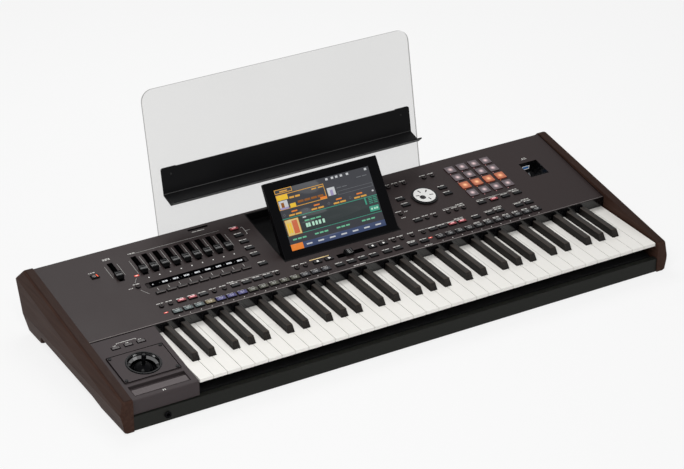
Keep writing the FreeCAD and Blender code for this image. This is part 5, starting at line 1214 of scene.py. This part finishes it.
def track_tiles():
    """Upper half of the picture: an amber track box, a grey one, icons and four names."""
    quarters = np.array((0.14, 0.375, 0.61, 0.83))
    return [("ground", [(0.0, 0.0, 1.0, 1.0)]),
            ("amber", frame_tiles(0.0, 0.0, 0.18, 0.07) + frame_tiles(0.0, 0.09, 0.5, 0.335)),
            ("amber", bars((0.05,), 0.03, 0.08, 0.02) + bars((0.37, 0.44), 0.12, 0.05, 0.02)),
            ("yellow", [(0.005, 0.1, 0.118, 0.18), (0.116, 0.265, 0.175, 0.33)]),
            ("amber", bars((0.13, 0.19), 0.155, 0.05, 0.03)),
            ("pale", [(0.01, 0.19, 0.1, 0.33), (0.52, 0.18, 0.6, 0.31)]),
            ("lilac", [(0.01, 0.3, 0.1, 0.33), (0.545, 0.22, 0.575, 0.31)]),
            ("brown", bars((0.2, 0.27, 0.34, 0.41), 0.25, 0.06, 0.035) + [(0.03, 0.22, 0.06, 0.3)]),
            ("orange", [(0.43, 0.29, 0.5, 0.325)]),
            ("grey", frame_tiles(0.62, 0.27, 0.99, 0.33, 0.003) + bars((0.85, 0.91), 0.125, 0.05, 0.012)),
            ("grey", bars((0.62, 0.68), 0.21, 0.05, 0.012)),
            ("pale", bars((0.535, 0.595, 0.64, 0.69, 0.755, 0.95), 0.02, 0.025, 0.035)),
            ("orange", bars(quarters - 0.03, 0.38, 0.06, 0.022)),
            ("amber", bars((*(quarters - 0.065), *(quarters + 0.005)), 0.433, 0.06, 0.026)),
            ("pale", bars((0.962,), 0.39, 0.02, 0.025))]


def setting_tiles():
    """Lower half of the picture: a teal band with a tile and bars, green names and a row of tabs."""
    names = np.add.outer((0.04, 0.27, 0.5, 0.77), np.arange(3) * 0.05)
    return [("band", [(0.0, 0.487, 1.0, 0.76)]),
            ("teal", [(0.0, 0.478, 1.0, 0.488), (0.0, 0.757, 1.0, 0.765)]),
            ("brown", [(0.008, 0.5, 0.156, 0.768)]),
            ("cream", [(0.013, 0.508, 0.151, 0.76)]),
            ("rust", [(0.08, 0.53, 0.135, 0.745)]),
            ("yellow", bars((0.025, 0.05), 0.56, 0.018, 0.16)),
            ("pale", bars((0.2,), 0.518, 0.035, 0.02)),
            ("green", bars((0.21, 0.27, 0.33), 0.575, 0.05, 0.022)),
            ("mint", bars((0.21, 0.235, 0.275, 0.31, 0.345, 0.385), 0.63, 0.022, 0.065)),
            ("teal", bars((0.86,), 0.487, 0.016, 0.11)),
            ("teal", sum((bars((0.9, 0.95), 0.5 + 0.028 * row, 0.04, 0.013) for row in range(4)), [])),
            ("teal", [(0.885, 0.64, 0.985, 0.73)]),
            ("mint", bars((0.9, 0.93, 0.955), 0.67, 0.018, 0.03)),
            ("green", bars(names.ravel(), 0.82, 0.04, 0.024)),
            ("orange", [(0.0, 0.9, 0.125, 1.0)]),
            ("slate", [(0.125, 0.9, 1.0, 1.0)]),
            ("pale", bars(0.16 + np.arange(7) * 0.122, 0.94, 0.06, 0.022))]


def screen_picture(finish):
    """A plain picture of tinted tiles, each layer over the one before, with a diamond before each name."""
    marks = Marks()
    for layer, (tint, shares) in enumerate(track_tiles() + setting_tiles()):
        marks.add(tiles(shares, sizes().lift * (1.0 + PICTURE_LAYER * layer)), srgb(*PICTURE_TINTS[tint]))
    x, y = picture_place(DIAMOND_SHARES, DIAMOND_TOP)
    marks.add(rings(DISPLAY, x, y, *DIAMOND_RADII, sizes().lift * 8, sides=4), srgb(*PICTURE_TINTS["grey"]))
    marks.piece("screen_picture", "display", finish, "screen_glass", sizes().lift * 0.3)


class KEYBOARD_OT_music_stand(bpy.types.Operator):
    """Finish the clear stand, its ledge and its sockets"""

    bl_idname = "keyboard.music_stand"
    bl_label = "Music stand"

    def execute(self, context):
        paint(acrylic_finish(), "stand_panel")
        paint(moulded("ledge_paint", darker(colours().black, 1.1), 0.38, 0.5 * MM, 0.015 * MM), "stand_ledge")
        paint(moulded("bracket_black", colours().black, 0.6, 0.6 * MM, 0.02 * MM), "stand_brackets")
        ledge_trim(ink_finish())
        return {"FINISHED"}


LEDGE_SCREWS = np.array((17.0, 12.0)) * MM
SCREW_RADIUS = 1.6 * MM
SCREW_SOCKET = 0.6 * MM
FOLD_REACH = 0.1 * MM


def ledge_trim(ink):
    """A painted highlight along the ledge's fold, and a screw head near each upper corner of its web."""
    ledge = STAND.corners("stand_ledge")
    left, right = ledge[:, 0].min(), ledge[:, 0].max()
    top = ledge[:, 1].max()
    sheet = ledge[ledge[:, 1] > top - LEDGE_SCREWS[1], 2].max()
    fold = ledge[np.abs(ledge[:, 2] - sheet) < FOLD_REACH, 1].min() + EDGE_WIDTH
    level = sheet + sizes().lift
    marks = Marks()
    # The line along the fold is a painted highlight.
    marks.add(strokes(STAND, (((left, fold), (right, fold)),), EDGE_WIDTH, level), shade("ledge_fold_highlight"))
    spots = np.array((left + LEDGE_SCREWS[0], right - LEDGE_SCREWS[0]))
    row = top - LEDGE_SCREWS[1]
    marks.add(discs(STAND, spots, row, SCREW_RADIUS, level), shade("screw"))
    marks.add(rings(STAND, spots, row, 0.0, SCREW_SOCKET, level + sizes().lift, 6), shade("screw_socket"))
    marks.piece("ledge_trim", "music_stand", ink, "black_matt", sizes().lift)


class KEYBOARD_OT_sockets(bpy.types.Operator):
    """Finish the sockets and add their rings and pins"""

    bl_idname = "keyboard.sockets"
    bl_label = "Sockets"

    def execute(self, context):
        black = moulded("socket_black", colours().black, 0.5, 0.5 * MM, 0.02 * MM)
        paint(black, "jack_sockets", "midi_sockets")
        paint(inlet_finish(), "mains_inlet")
        paint(metal("port_steel", colours().steel), "usb_sockets")
        bright = metal("socket_steel", colours().steel, 0.2)
        marks = Marks()
        for name, mount in MOUNTS.items():
            if name.startswith("rear_jack"):
                marks.add(jack_ring(mount))
            if name.startswith("midi"):
                marks.add(socket_pins(mount))
        marks.piece("jack_rings", "case", bright, "bright_steel", smooth=True)
        marks = Marks()
        marks.add(jack_ring(MOUNTS["headphone_jack"]))
        gloss = polished("phones_gloss", colours().gloss, 0.2)
        marks.piece("phones_ring", "case", gloss, "socket_black", smooth=True)
        lens = lens_finish()
        pocket_port(lens)
        port_tongues(lens)
        return {"FINISHED"}


BLADE_PITCH = 7.0 * MM
BLADE_LIFT = 2.0 * MM
BLADE_HALF = np.array((1.05, 2.05)) * MM
RIM_DEPTH = 0.1 * MM
TONGUE = np.array((9.4, 1.8)) * MM
TONGUE_DEPTH = 1.2 * MM
PORT_EDGE = np.array((0.2, 0.1)) * MM
PIN_CIRCLE = 4.4 * MM
PIN_PROFILE = np.array(((0.6, 0.0), (0.6, 5.6), (0.35, 6.2), (0.0, 6.2))) * MM
POCKET_SPOT = np.array((781.9, 137.4, -12.0)) * MM
POCKET_RIM = np.array((14.5, 7.2)) * MM
POCKET_WALL = 1.0 * MM
POCKET_TONGUE = 2.6 * MM
PHONE_NOSE = 2.4 * MM
WASHER_WIDTH = 1.1 * MM
WASHER_RISE = 0.8 * MM
WASHER_GAP = np.array((0.15, 0.1)) * MM


def inlet_finish():
    """Black inlet with three steel blades: one in the middle, and one to each side on the other level."""
    finish = moulded("inlet_black", colours().black, 0.5, 0.5 * MM, 0.02 * MM)
    inlet = REAR.corners("mains_inlet")
    middle = REAR.at(*((inlet.min(0) + inlet.max(0)) / 2)[:2])
    right = abs(finish.along(RIGHT, middle))
    down = finish.along(REAR.up, middle)
    outer = (abs(right - BLADE_PITCH) < BLADE_HALF[0]) * (abs(down - BLADE_LIFT) < BLADE_HALF[1])
    inner = (right < BLADE_HALF[0]) * (abs(down + BLADE_LIFT) < BLADE_HALF[1])
    blades = finish.clamp(outer + inner)
    return finish.cover(blades, colours().steel, 0.3).surface(metallic=blades)


def port_tongues(finish):
    """A blue tongue end in each rear port's mouth, centred on the mouth's rim and a little inside it, glowing a
    little as painted light.
    """
    flat = REAR.local(triangles("usb_sockets"))
    mouth = flat[..., 2].max()
    rims = flat[flat[..., 2].min(1) > mouth - RIM_DEPTH]
    columns = runs(rims[..., 0].min(1), rims[..., 0].max(1))
    marks = Marks()
    blue = np.array(colours().port)
    for column in range(columns.max() + 1):
        rim = rims[columns == column].reshape(-1, 3)
        x, y = (rim.min(0) + rim.max(0))[:2] / 2
        # The tongue glows a little: painted light.
        marks.add(lenses(REAR, x, y, *TONGUE, mouth - TONGUE_DEPTH, *PORT_EDGE), blue, blue * 0.3)
    marks.piece("port_tongues", "case", finish, "port_blue")


def socket_pins(mount):
    """Five steel pins on a half circle at the bottom of a bore: a profile turned about each pin's axis."""
    axis = np.array(mount["axis"])
    bottom = np.array(mount["pos_m"]) - axis * mount["dims"]["length_mm"] * MM / 2
    side = np.cross(axis, RIGHT)
    turn = np.linspace(0.0, math.pi, 5)[:, None]
    spots = bottom + PIN_CIRCLE * (np.cos(turn) * RIGHT + np.sin(turn) * side)
    return np.concatenate([turned(spot, axis, PIN_PROFILE, 10) for spot in spots])


def pocket_port(finish):
    """Bright rim and blue tongue of the port in the panel's pocket, on a face that looks along the panel; both
    glow a little as painted light.
    """
    face = Plane(PANEL.at(*POCKET_SPOT), PANEL.out)
    steel = shade("port_rim")
    blue = np.array(colours().port)
    width, height = POCKET_RIM
    wall = POCKET_WALL
    rim_x = np.array((-0.5, 0.5, 0.0, 0.0)) * (width - wall)
    rim_y = np.array((0.0, 0.0, -0.5, 0.5)) * (height - wall)
    wide = np.array((wall, wall, width, width))
    tall = np.array((height, height, wall, wall))
    marks = Marks()
    # The rim and the tongue glow a little: painted light.
    marks.add(lenses(face, rim_x, rim_y, wide, tall, 0.0, *PORT_EDGE), steel, steel * 0.6)
    marks.add(lenses(face, 0.0, 0.0, width - 4 * wall, POCKET_TONGUE, 0.0, *PORT_EDGE), blue, blue * 0.45)
    marks.piece("pocket_port", "case", finish, "port_blue")


def jack_ring(mount):
    """A rounded washer round a jack's mouth: half an ellipse turned about the jack's axis."""
    axis = np.array(mount["axis"])
    depth = PHONE_NOSE if "phone" in mount["name"] else mount["dims"]["length_mm"] * MM
    front = np.array(mount["pos_m"]) + axis * depth / 2
    turn = np.linspace(math.pi, 0.0, 7)
    radius = mount["dims"]["r_mm"] * MM + WASHER_WIDTH + WASHER_GAP[0]
    height = WASHER_GAP[1] + WASHER_RISE * np.sin(turn)
    return turned(front, axis, np.stack((radius - WASHER_WIDTH * np.cos(turn), height), axis=1))


class KEYBOARD_OT_inner(bpy.types.Operator):
    """Finish the boards, the supply, the rod and the screws"""

    bl_idname = "keyboard.inner"
    bl_label = "Inner parts"

    def execute(self, context):
        board = moulded("board_green", colours().circuit, 0.45, 2.0 * MM, 0.02 * MM, 0.3)
        paint(board, "main_board", "panel_board", "key_contact_board")
        paint(metal("inner_steel", colours().steel), "power_supply", "key_pivot_rod")
        paint(moulded("screw_black", colours().gloss, 0.35, 0.4 * MM, 0.01 * MM), "case_screws")
        return {"FINISHED"}


class KEYBOARD_OT_printing(bpy.types.Operator):
    """Print lines, ticks and label dashes on the panel and the block"""

    bl_idname = "keyboard.printing"
    bl_label = "Printing"

    def execute(self, context):
        ink = ink_finish()
        panel_print(ink)
        block_print(ink)
        return {"FINISHED"}


FADER_LABELS = ((-4.1, 9.7, 179.0), (-4.1, 9.7, 176.4), (39.7, 53.0, 176.2), (-39.0, -27.0, 155.4),
                (2.2, 10.3, 94.4))
ROW_LABELS = ((150.0, 163.0, 46.8), (576.0, 594.0, 46.6), (654.0, 671.0, 47.6), (710.0, 726.0, 47.4),
              (600.0, 615.0, 80.0), (706.0, 722.0, 78.6), (510.5, 518.0, 98.0), (497.0, 506.0, 84.3),
              (358.5, 382.0, 4.6), (493.0, 508.7, 4.0), (470.5, 487.2, 23.7), (161.0, 184.0, 187.5),
              (777.0, 788.0, 146.6), (779.0, 787.0, 149.6))
ROW_LINES = ((152.0, 45.4, 240.0, 44.8), (404.0, 45.2, 440.0, 44.8), (506.0, 43.6, 593.0, 44.4),
             (634.0, 44.6, 670.6, 45.2), (692.5, 44.6, 725.6, 45.2), (573.0, 78.2, 615.0, 77.8),
             (639.5, 77.2, 722.3, 76.4), (240.0, 168.0, 243.0, 168.0), (243.0, 168.0, 243.0, 149.0),
             (240.0, 149.0, 243.0, 149.0), (243.0, 157.4, 252.0, 157.4))
FADER_LINES = ((-7.5, 129.3, -7.5, 161.6), (14.0, 131.0, 14.0, 161.0), (34.6, 124.6, 34.6, 159.9),
               (207.7, 129.7, 207.7, 162.0), (26.0, 115.6, 18.6, 105.0), (19.1, 85.5, 27.5, 71.6))
FADER_BRACKET = (44.0, 174.6, 203.0, 174.6)
SCALE_ENDS = np.array((127.0, 165.0)) * MM
TICK_ENDS = np.array((73.7, 80.7)) * MM
AMBER_LINE = (300.0, 45.4, 336.0, 45.0)
STYLE_DOTS = np.array((-1.5, 5.2, 0.9)) * MM
STYLE_LABEL = (6.6 * MM, 0.7)
SECOND_LABEL = (9.4 * MM, 0.7)
WIDE_LABEL = (6.2 * MM, 0.85)
ROUND_LABEL = (7.2 * MM, 1.3)
BADGE = (175.0, 194.0, 36.0, 4.0)
PLATE_SHEET = 1.5 * MM
DOUBLE_LABELS = 590.0 * MM
EDGE_INSET = 0.7 * MM
EDGE_WIDTH = 1.3 * MM
BLOCK_LABEL_GAP = 5.6 * MM
BRACKET_GAP = 10.1 * MM
BRACKET_REACH = 16.4 * MM
BRACKET_DROP = 2.0 * MM
GROOVE = 1.4 * MM
BUTTON_GAP = 0.4 * MM
BLOCK_BARS = np.array((-1.4, 1.6)) * MM
BLOCK_BAR = np.array((-68.7, 1.6, 3.4)) * MM


def panel_print(ink):
    """All printing on the sloping panel."""
    marks = Marks()
    generator = np.random.default_rng(3)
    row_print(marks, generator)
    fader_print(marks, generator)
    badge_print(marks)
    edge_print(marks)
    marks.piece("panel_print", "case", ink, "case_grey", sizes().lift)


def labels(spans, generator):
    """Labels of dashes, each given by its left end, right end and row in millimetres."""
    left, right, row = np.array(spans).T * MM
    return dashes(PANEL, (left + right) / 2, row, right - left, sizes().lift, generator, 3)


def lines(ends, weight):
    """Lines on the panel, each given by its two ends in millimetres."""
    return strokes(PANEL, np.reshape(ends, (-1, 2, 2)) * MM, weight, sizes().lift)


def labels_over(buttons, form, generator):
    """Labels of dashes over buttons: the form is a gap above the middle and a share of the width."""
    x, y, width = buttons[:, :3].T
    return dashes(PANEL, x, y + form[0], width * form[1], sizes().lift, generator)


def row_print(marks, generator):
    """Dots, label dashes and brackets around the buttons."""
    white = colours().ink
    style = islands("style_buttons", PANEL)
    shift, row, radius = STYLE_DOTS
    marks.add(discs(PANEL, style[:, 0] + shift, row, radius, sizes().lift), white)
    marks.add(labels_over(style, STYLE_LABEL, generator), darker(white, 0.7))
    marks.add(labels_over(style[style[:, 0] > DOUBLE_LABELS], SECOND_LABEL, generator), white)
    wide = islands("function_buttons", PANEL)
    wide = np.delete(wide, row_of(wide, UPPER_ROW)[SIGN_BUTTONS], axis=0)
    marks.add(labels_over(wide, WIDE_LABEL, generator), white)
    marks.add(labels_over(islands("round_buttons", PANEL), ROUND_LABEL, generator), white)
    marks.add(labels(ROW_LABELS, generator), white)
    marks.add(lines(ROW_LINES, 1.5 * sizes().weight), darker(white, 0.8))
    marks.add(lines(AMBER_LINE, 4.0 * sizes().weight), shade("amber_line"))


def uprights(columns, ends, weight):
    """Upright lines on the panel, one at each column."""
    return strokes(PANEL, [[(x, end) for end in ends] for x in columns], weight, sizes().lift)


def fader_print(marks, generator):
    """Scale lines between the faders, their bracket, the ticks down to their buttons and their labels."""
    weight = sizes().weight
    pale = darker(colours().ink, 0.5)
    faders = fader_columns()
    between = faders[:-1] + np.diff(faders).mean() / 2
    marks.add(uprights(between, SCALE_ENDS, 2.2 * weight), pale)
    marks.add(lines((*FADER_LINES, FADER_BRACKET), 2.0 * weight), pale)
    marks.add(uprights(faders, TICK_ENDS, 2.0 * weight), darker(colours().ink, 0.7))
    marks.add(labels(FADER_LABELS, generator), colours().ink)


def badge_print(marks):
    """A dark bare badge at the panel's rear."""
    x, y, width, height = np.array(BADGE) * MM
    marks.add(quads(PANEL, x, y, width, height, sizes().lift), colours().gloss)


def edge_print(marks):
    """A painted highlight along the front edge, and painted shade along the joints with the cheeks."""
    panel = PANEL.corners("top_panel")
    panel = panel[panel[:, 2] > -sizes().lift]
    left, low = panel.min(0)[:2] + EDGE_INSET
    right, high = panel.max(0)[:2] - EDGE_INSET
    # The pale front line is a painted highlight; the dark lines along the cheeks are painted shade.
    marks.add(strokes(PANEL, (((left, low), (right, low)),), EDGE_WIDTH, sizes().lift), shade("front_edge_highlight"))
    joints = (((left, low), (left, high)), ((right, low), (right, high)))
    marks.add(strokes(PANEL, joints, EDGE_WIDTH, sizes().lift), shade("cheek_joint_shade"))


def block_print(ink):
    """Marks on the joystick block: bracket and dashes over the buttons, painted shade as a groove round the plate
    and in the gaps round the buttons, two bars.
    """
    marks = Marks()
    generator = np.random.default_rng(8)
    white = colours().ink
    dark = shade("block_groove_shade")
    x, y, width, height = islands("joystick_buttons", BLOCK).T
    face = BLOCK.height("joystick_housing") + sizes().lift
    marks.add(dashes(BLOCK, x, y + BLOCK_LABEL_GAP, width * 0.4, face, generator), white)
    row = y[0] + BRACKET_GAP
    ends = np.array(((-BRACKET_REACH, row), (BRACKET_REACH, row)))
    bracket = (ends, *((end, end - (0.0, BRACKET_DROP)) for end in ends))
    marks.add(strokes(BLOCK, bracket, 2.2 * sizes().weight, face), white)
    plate = BLOCK.corners("joystick_plate")
    left, low = plate.min(0)[:2] + GROOVE / 2
    right, high = plate.max(0)[:2] - GROOVE / 2
    corners = np.array(((left, low), (right, low), (right, high), (left, high)))
    outline = np.stack((corners, np.roll(corners, -1, axis=0)), axis=1)
    # The dark outline round the plate and the dark rims round the buttons are painted shade.
    marks.add(strokes(BLOCK, outline, GROOVE, face + PLATE_SHEET), dark)
    marks.add(quads(BLOCK, x, y, width + BUTTON_GAP, height + BUTTON_GAP, face), dark)
    marks.add(quads(BLOCK, BLOCK_BARS, *BLOCK_BAR, face), white)
    marks.piece("block_print", "case", ink, "block_grey", sizes().lift)


FLOOR_REACH = 30.0
FLOOR_GLOW = 0.88
LIGHT_TARGET = (0.0, 0.0, 0.08)
LIGHTS = (("key", (-0.9, -1.0, 1.5), 0.8), ("fill", (1.8, -2.6, 1.6), 2.0), ("back", (0.1, 0.75, 1.45), 0.9))


class KEYBOARD_OT_studio(bpy.types.Operator):
    """Set the camera, the pale floor and the soft lights"""

    bl_idname = "keyboard.studio"
    bl_label = "Studio"

    def execute(self, context):
        settings = context.scene.keyboard_studio
        stage_camera(settings)
        stage_floor(settings)
        stage_lights(settings)
        stage_world(settings)
        context.scene.view_settings.view_transform = "Standard"
        return {"FINISHED"}


def stage_camera(settings):
    """A camera at the photograph's place and angle."""
    data = bpy.data.cameras.new("camera")
    data.lens = settings.lens
    data.sensor_width = settings.sensor
    camera = bpy.data.objects.new("camera", data)
    camera.location = settings.place
    turns = ((settings.azimuth, "Z"), (math.pi / 2 - settings.elevation, "X"), (settings.roll, "Z"))
    around, down, lean = (Matrix.Rotation(turn, 3, axis) for turn, axis in turns)
    camera.rotation_euler = (around @ down @ lean).to_euler()
    bpy.context.scene.collection.objects.link(camera)
    bpy.context.scene.camera = camera


def stage_floor(settings):
    """A wide pale floor that keeps a soft shadow: mostly its own white to the camera, diffuse to the rest."""
    mesh = bpy.data.meshes.new("floor")
    corners = np.array(((-1, -1, 0), (1, -1, 0), (1, 1, 0), (-1, 1, 0))) * FLOOR_REACH
    mesh.from_pydata(corners.tolist(), [], [(0, 1, 2, 3)])
    floor = bpy.data.objects.new("floor", mesh)
    bpy.context.scene.collection.objects.link(floor)
    finish = Finish("floor_white", base_color=settings.floor, roughness=1.0, specular_ior_level=0.0)
    rays = finish.node("LightPath", {}).socket.node.outputs
    seen = ("Is Camera Ray", "Is Glossy Ray", "Is Transmission Ray")
    camera, glossy, through = (Value(finish, rays[name]) for name in seen)
    white = finish.node("Emission", {}, settings.floor, 1.0)
    share = finish.clamp(camera + glossy + through) * FLOOR_GLOW
    blended = finish.node("MixShader", {}, share, Value(finish, finish.shader.outputs[0]), white)
    finish.fill(finish.tree.nodes["Material Output"].inputs["Surface"], blended)
    mesh.materials.append(finish.material)


def stage_lights(settings):
    """Three soft lights: over the left front, in front, and over the rear."""
    for name, place, size in LIGHTS:
        data = bpy.data.lights.new(name + "_light", "AREA")
        data.shape = "DISK"
        data.size = size
        data.energy = getattr(settings, name + "_power")
        lamp = bpy.data.objects.new(name + "_light", data)
        lamp.location = place
        way = np.array(LIGHT_TARGET) - np.array(place)
        flat = math.hypot(way[0], way[1])
        lamp.rotation_euler = (math.atan2(flat, -way[2]), 0.0, math.atan2(-way[0], way[1]))
        bpy.context.scene.collection.objects.link(lamp)


def stage_world(settings):
    """White to the camera and to mirrors, softer light to the rest."""
    world = bpy.data.worlds.new("studio_white")
    world.use_nodes = True
    bpy.context.scene.world = world
    tree = world.node_tree
    background = tree.nodes["Background"]
    background.inputs["Color"].default_value = settings.floor
    rays = tree.nodes.new("ShaderNodeLightPath")
    strength = tree.nodes.new("ShaderNodeMapRange")
    strength.inputs["To Min"].default_value = 1.0
    strength.inputs["To Max"].default_value = settings.ambient
    tree.links.new(rays.outputs["Is Diffuse Ray"], strength.inputs["Value"])
    tree.links.new(strength.outputs["Result"], background.inputs["Strength"])


class KEYBOARD_PT_finish(bpy.types.Panel):
    """The keyboard's finish in the sidebar"""

    bl_idname = "KEYBOARD_PT_finish"
    bl_label = "Keyboard finish"
    bl_space_type = "VIEW_3D"
    bl_region_type = "UI"
    bl_category = "Keyboard"

    def draw(self, context):
        for operator in OPERATORS:
            self.layout.operator(operator.bl_idname)
        for group in SETTINGS:
            settings = getattr(context.scene, group)
            box = self.layout.box()
            for name in settings.bl_rna.properties.keys():
                if name not in ("rna_type", "name"):
                    box.prop(settings, name)


OPERATORS = (KEYBOARD_OT_case, KEYBOARD_OT_keys, KEYBOARD_OT_block, KEYBOARD_OT_buttons, KEYBOARD_OT_pads,
             KEYBOARD_OT_faders, KEYBOARD_OT_dial, KEYBOARD_OT_display, KEYBOARD_OT_music_stand,
             KEYBOARD_OT_sockets, KEYBOARD_OT_inner, KEYBOARD_OT_printing, KEYBOARD_OT_studio)
SETTINGS = {"keyboard_colours": KeyboardColours, "keyboard_sizes": KeyboardSizes,
            "keyboard_studio": StudioSettings}


def register():
    """Add the settings, the operators and the panel."""
    for name, group in SETTINGS.items():
        bpy.utils.register_class(group)
        setattr(bpy.types.Scene, name, bpy.props.PointerProperty(type=group))
    for owner in (*OPERATORS, KEYBOARD_PT_finish):
        bpy.utils.register_class(owner)


def unregister():
    """Take them away again."""
    for owner in (KEYBOARD_PT_finish, *reversed(OPERATORS)):
        bpy.utils.unregister_class(owner)
    for name, group in SETTINGS.items():
        delattr(bpy.types.Scene, name)
        bpy.utils.unregister_class(group)


def main():
    """Finish the whole keyboard."""
    register()
    for operator in OPERATORS:
        category, name = operator.bl_idname.split(".")
        getattr(getattr(bpy.ops, category), name)()


if __name__ == "__main__":
    main()
